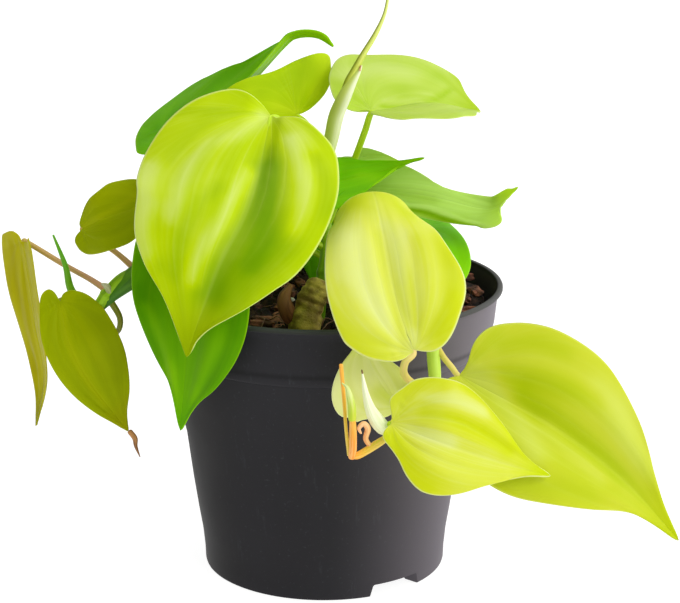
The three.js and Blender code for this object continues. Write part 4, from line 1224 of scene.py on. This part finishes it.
for number, (name, shape) in enumerate(leaves.items()):
    leaf = {**leafDefaults, **skins[shape["skin"]], **shape}
    leaf["seed"] = 1.0 + 2.3 * number
    leaf["strokes"] = strokes.get(name, [])
    makeLeaf(name, leaf)
    makeStalk(name, leaf)
print("leaves made:", len(leaves))

stems = {
    "stem_woody": {"path": [(-6.5, -25, 76), (-6, -25, 90), (-4, -23, 97), (-2, -21, 102)],
        "radii": [5, 5.2, 4.9, 4.2], "slot": "wood", "rings": 90, "sides": 40},
    "stem_tall": {"path": [(-3, -11, 76), (-1, -10, 97), (1, -4, 110), (0.5, 0, 122), (0, 2, 136)],
        "radii": [2.4, 2.1, 1.9], "slot": "stem", "rings": 90, "sides": 20,
        "joints": (0.35, 0.56, 0.72, 0.9)},
    "stem_right": {"path": [(9, 4, 76), (12, -8, 95), (20, -30, 104), (28, -50, 104), (33, -62, 98),
        (34, -67, 90), (34, -70, 83), (31, -78, 76), (24, -85, 74), (20.5, -88, 75)],
        "radii": [2.4, 2.3, 1.9, 1.7], "slot": "stem", "rings": 150, "sides": 20,
        "joints": (0.12, 0.36, 0.46, 0.97)},
    "stem_left": {"path": [(-37, -7, 76), (-42, -10, 94), (-54, -14, 104.5), (-64, -17, 104), (-71, -18, 98),
        (-75, -17, 92), (-77.5, -9.5, 90.5)], "radii": [2.3, 2.3, 2.1, 1.2], "slot": "stem", "rings": 130,
        "sides": 20, "joints": (0.2, 0.45, 0.67, 0.95)},
}
greenStem = grainSkin("greenStem", (104, 146, 8), (150, 196, 14), (84, 128, 4), 0.6, 7.0)
stemSkins = {
    "stem_right": grainSkin("rightStem", (140, 180, 20), (194, 224, 84), (168, 206, 50), 0.3, 5.0, 0.35),
    "stem_woody": barkMaterial("woodStem", (212, 192, 84), (128, 106, 44), 420.0),
}


def makeStem(name, stem):
    def ringed(t, angle):
        swell = 1.0
        for j in stem["joints"]:
            swell += 0.16 * math.exp(-(((t - j) * 70) ** 2)) - 0.05 * math.exp(-(((t - j + 0.02) * 110) ** 2))
        return swell

    def scarred(t, angle):
        grooves = math.sin(t * 46 + 0.5 * math.sin(angle * 2)) * 0.035
        lumps = noise.noise(Vector((math.cos(angle) * 1.6, math.sin(angle) * 1.6, t * 7))) * 0.16
        return 1 + grooves + lumps - 0.05

    swell = ringed if "joints" in stem else scarred
    label = name.replace("stem_", "vine_")
    piece = tube(label, stem["path"], stem["radii"], stem["rings"], stem["sides"], swell)
    return dress(piece, [stemSkins.get(name, greenStem)], [name])


for name, stem in stems.items():
    makeStem(name, stem)

small = {
    "new_leaf": ("cream", [
        {"path": [(0.8, 0.6, 138.6), (1.6, -0.4, 143), (2.8, -1.8, 148.2), (4.2, -3.3, 154.9),
            (6.8, -4.7, 161.2), (9, -4.8, 165.6), (11.3, -4.6, 169.5), (12.4, -4.6, 171.5)],
         "radii": [1.9, 2.3, 2.45, 2.5, 2.25, 1.7, 0.9, 0.3], "look": "spear"},
        {"path": [(6, -4.2, 159.8), (7.9, -4.4, 165.6), (10.1, -4.1, 169.8), (12.9, -3.9, 175),
            (16.7, -3.4, 181.2), (19.5, -3, 187.2), (20.7, -3, 192.4), (21.4, -3, 199.8)],
         "radii": [1.2, 1.35, 1.25, 1, 0.85, 0.6, 0.5, 0.3], "look": "roll"}]),
    "bud_left": ("stem", [
        {"path": [(-78, -8.5, 90.5), (-81, -8, 92.5), (-84, -9, 98), (-85.5, -9, 106), (-89, -9, 116)],
         "radii": [1.1, 1.5, 1.3, 0.9, 0.35], "look": "bud"}]),
    "stalk_dried": ("dried", [
        {"path": [(19.8, -88.4, 73.8), (17, -89.8, 72.3), (13.1, -91, 70.1), (10.4, -92, 69),
            (8.9, -92, 69.2)],
         "radii": [0.9, 1.2, 1.15, 1.1, 0.8], "look": "driedYellow"},
        {"path": [(8.9, -92.2, 68.6), (9.2, -92.5, 71.5), (9.2, -92.5, 77.2), (8.9, -92, 82.6)],
         "radii": [1.1, 1.15, 1.1, 0.8], "look": "driedOrange"},
        {"path": [(8.2, -91.4, 69), (7.2, -91, 76.6), (6.6, -89, 85.3), (5.7, -86, 95.2)],
         "radii": [0.7, 0.5, 0.55, 0.6], "look": "driedYellow"},
        {"path": [(9, -92.3, 80.5), (8.9, -92.6, 84), (8.3, -92.2, 87.2), (7.5, -91.4, 89.7), (6, -90.4, 91)],
         "radii": [1.2, 1.2, 1.0, 0.6, 0.15], "look": "greenSheath"},
        {"path": [(14.2, -90.6, 71.6), (13, -91, 74), (13.6, -91, 77), (12.4, -91, 78.6), (11, -91, 77.2),
            (11.6, -91, 75.6)],
         "radii": [0.7, 0.8, 0.9, 0.8, 0.6, 0.3], "look": "driedCurl"}]),
    "sheath_cream": ("cream", [
        {"path": [(19.6, -88, 75), (18, -88.4, 76.6), (16, -89, 79.4), (14.2, -90, 83.2), (13, -90, 87.4),
            (12.4, -89.5, 90.8), (11.9, -89, 94)],
         "radii": [1.4, 2.2, 2.2, 1.6, 1.0, 0.6, 0.2], "look": "waxy"}]),
}
# first and last colour, streaks, strength, number of streaks, place of the change; colour of the painted
# shade on one side, and its turn
smallLooks = {
    "spear": ((226, 233, 164), (231, 235, 200), (206, 220, 120), 0.4, 9, 0.35, (178, 196, 60), -0.65),
    "roll": ((206, 216, 90), (218, 228, 130), (186, 200, 60), 0.6, 6, 0.5, (128, 142, 20)),
    "bud": ((132, 188, 20), (92, 164, 20), (96, 156, 4), 0.6, 6),
    "driedYellow": ((214, 206, 60), (240, 168, 50), (250, 196, 110), 0.5, 6),
    "driedOrange": ((240, 150, 60), (236, 178, 60), (252, 196, 120), 0.6, 6, 0.6),
    "greenSheath": ((196, 206, 60), (214, 226, 150), (170, 200, 30), 0.6, 6, 0.4),
    "driedCurl": ((238, 186, 122), (246, 206, 152), (222, 150, 90), 0.5, 6),
    "waxy": ((234, 240, 196), (242, 246, 212), (204, 216, 150), 0.4, 16),
}
smallSkins = {key: grainSkin(key + "Skin", *look) for key, look in smallLooks.items()}
for node, (slot, parts) in small.items():
    for number, item in enumerate(parts):
        piece = tube("%sPiece%d" % (node.replace("_", ""), number + 1), item["path"], item["radii"], 60, 20)
        dress(piece, [smallSkins[item["look"]]], [node])

extras = {  # dried tip, wrapped node, papery sheath and tiny dark points
    "driedTip": {"path": [(-64, -24.2, 53), (-62.4, -24.4, 50.7), (-62.1, -24.8, 48.1), (-60.8, -25, 44.4)],
        "radii": [0.9, 0.9, 0.6, 0.15], "slot": "dried",
        "look": ((160, 110, 60), (110, 70, 40), (190, 140, 80), 0.6, 6)},
    "nodeSheath": {"path": [(-56, -15, 105.5), (-61, -16.5, 104.5), (-65, -17.6, 101.5), (-69, -18.6, 97.6),
        (-72.4, -18, 93)], "radii": [2.6, 3.4, 2.9, 1.7, 0.3], "slot": "stem",
        "look": ((84, 130, 12), (62, 116, 8), (46, 96, 4), 0.6, 7)},
    "nodeBud": {"path": [(-69.8, -19, 99.5), (-70.6, -19.6, 101.3), (-72.2, -19.2, 102.2)],
        "radii": [1.2, 1.1, 0.4], "slot": "stem",
        "look": ((170, 176, 120), (190, 190, 150), (130, 140, 80), 0.6, 6)},
    "papery": {"path": [(-8.7, -22, 89.7), (-11.5, -25, 94), (-12.6, -25.5, 99), (-10.6, -24.5, 103)],
        "radii": [2.6, 2.8, 2.2, 0.8], "slot": "dried",
        "look": ((110, 70, 36), (140, 100, 56), (70, 42, 24), 0.7, 9)},
    "sheathPoint": {"path": [(12, -89.2, 93.6), (11.8, -89.2, 94.6)], "radii": [0.28, 0.2], "slot": "dried",
        "look": ((120, 90, 50), (90, 60, 30), (140, 100, 60), 0.5, 6)},
    "spearPoint": {"path": [(11.8, -5.6, 170), (12.1, -5.4, 171.6)], "radii": [0.35, 0.2], "slot": "dried",
        "look": ((206, 160, 110), (170, 110, 70), (220, 180, 130), 0.5, 6)},
}
for name, item in extras.items():
    piece = tube(name, item["path"], item["radii"], 40, 18)
    dress(piece, [grainSkin(name + "Skin", *item["look"])])
print("stems and small pieces made")


def makeFloor():
    deselect()
    bpy.ops.mesh.primitive_plane_add(size=14, location=(0, 4, 0))
    floor = nameIt(bpy.context.object, "floor")
    material, tree, skin, lift = newMaterial("paleFloor", 0.9, 0.2)
    skin["Base Color"].default_value = srgb(studio["floor"])
    skin["Emission Color"].default_value = (1, 1, 1, 1)
    skin["Emission Strength"].default_value = studio["floorGlow"]
    floor.data.materials.append(material)


makeFloor()
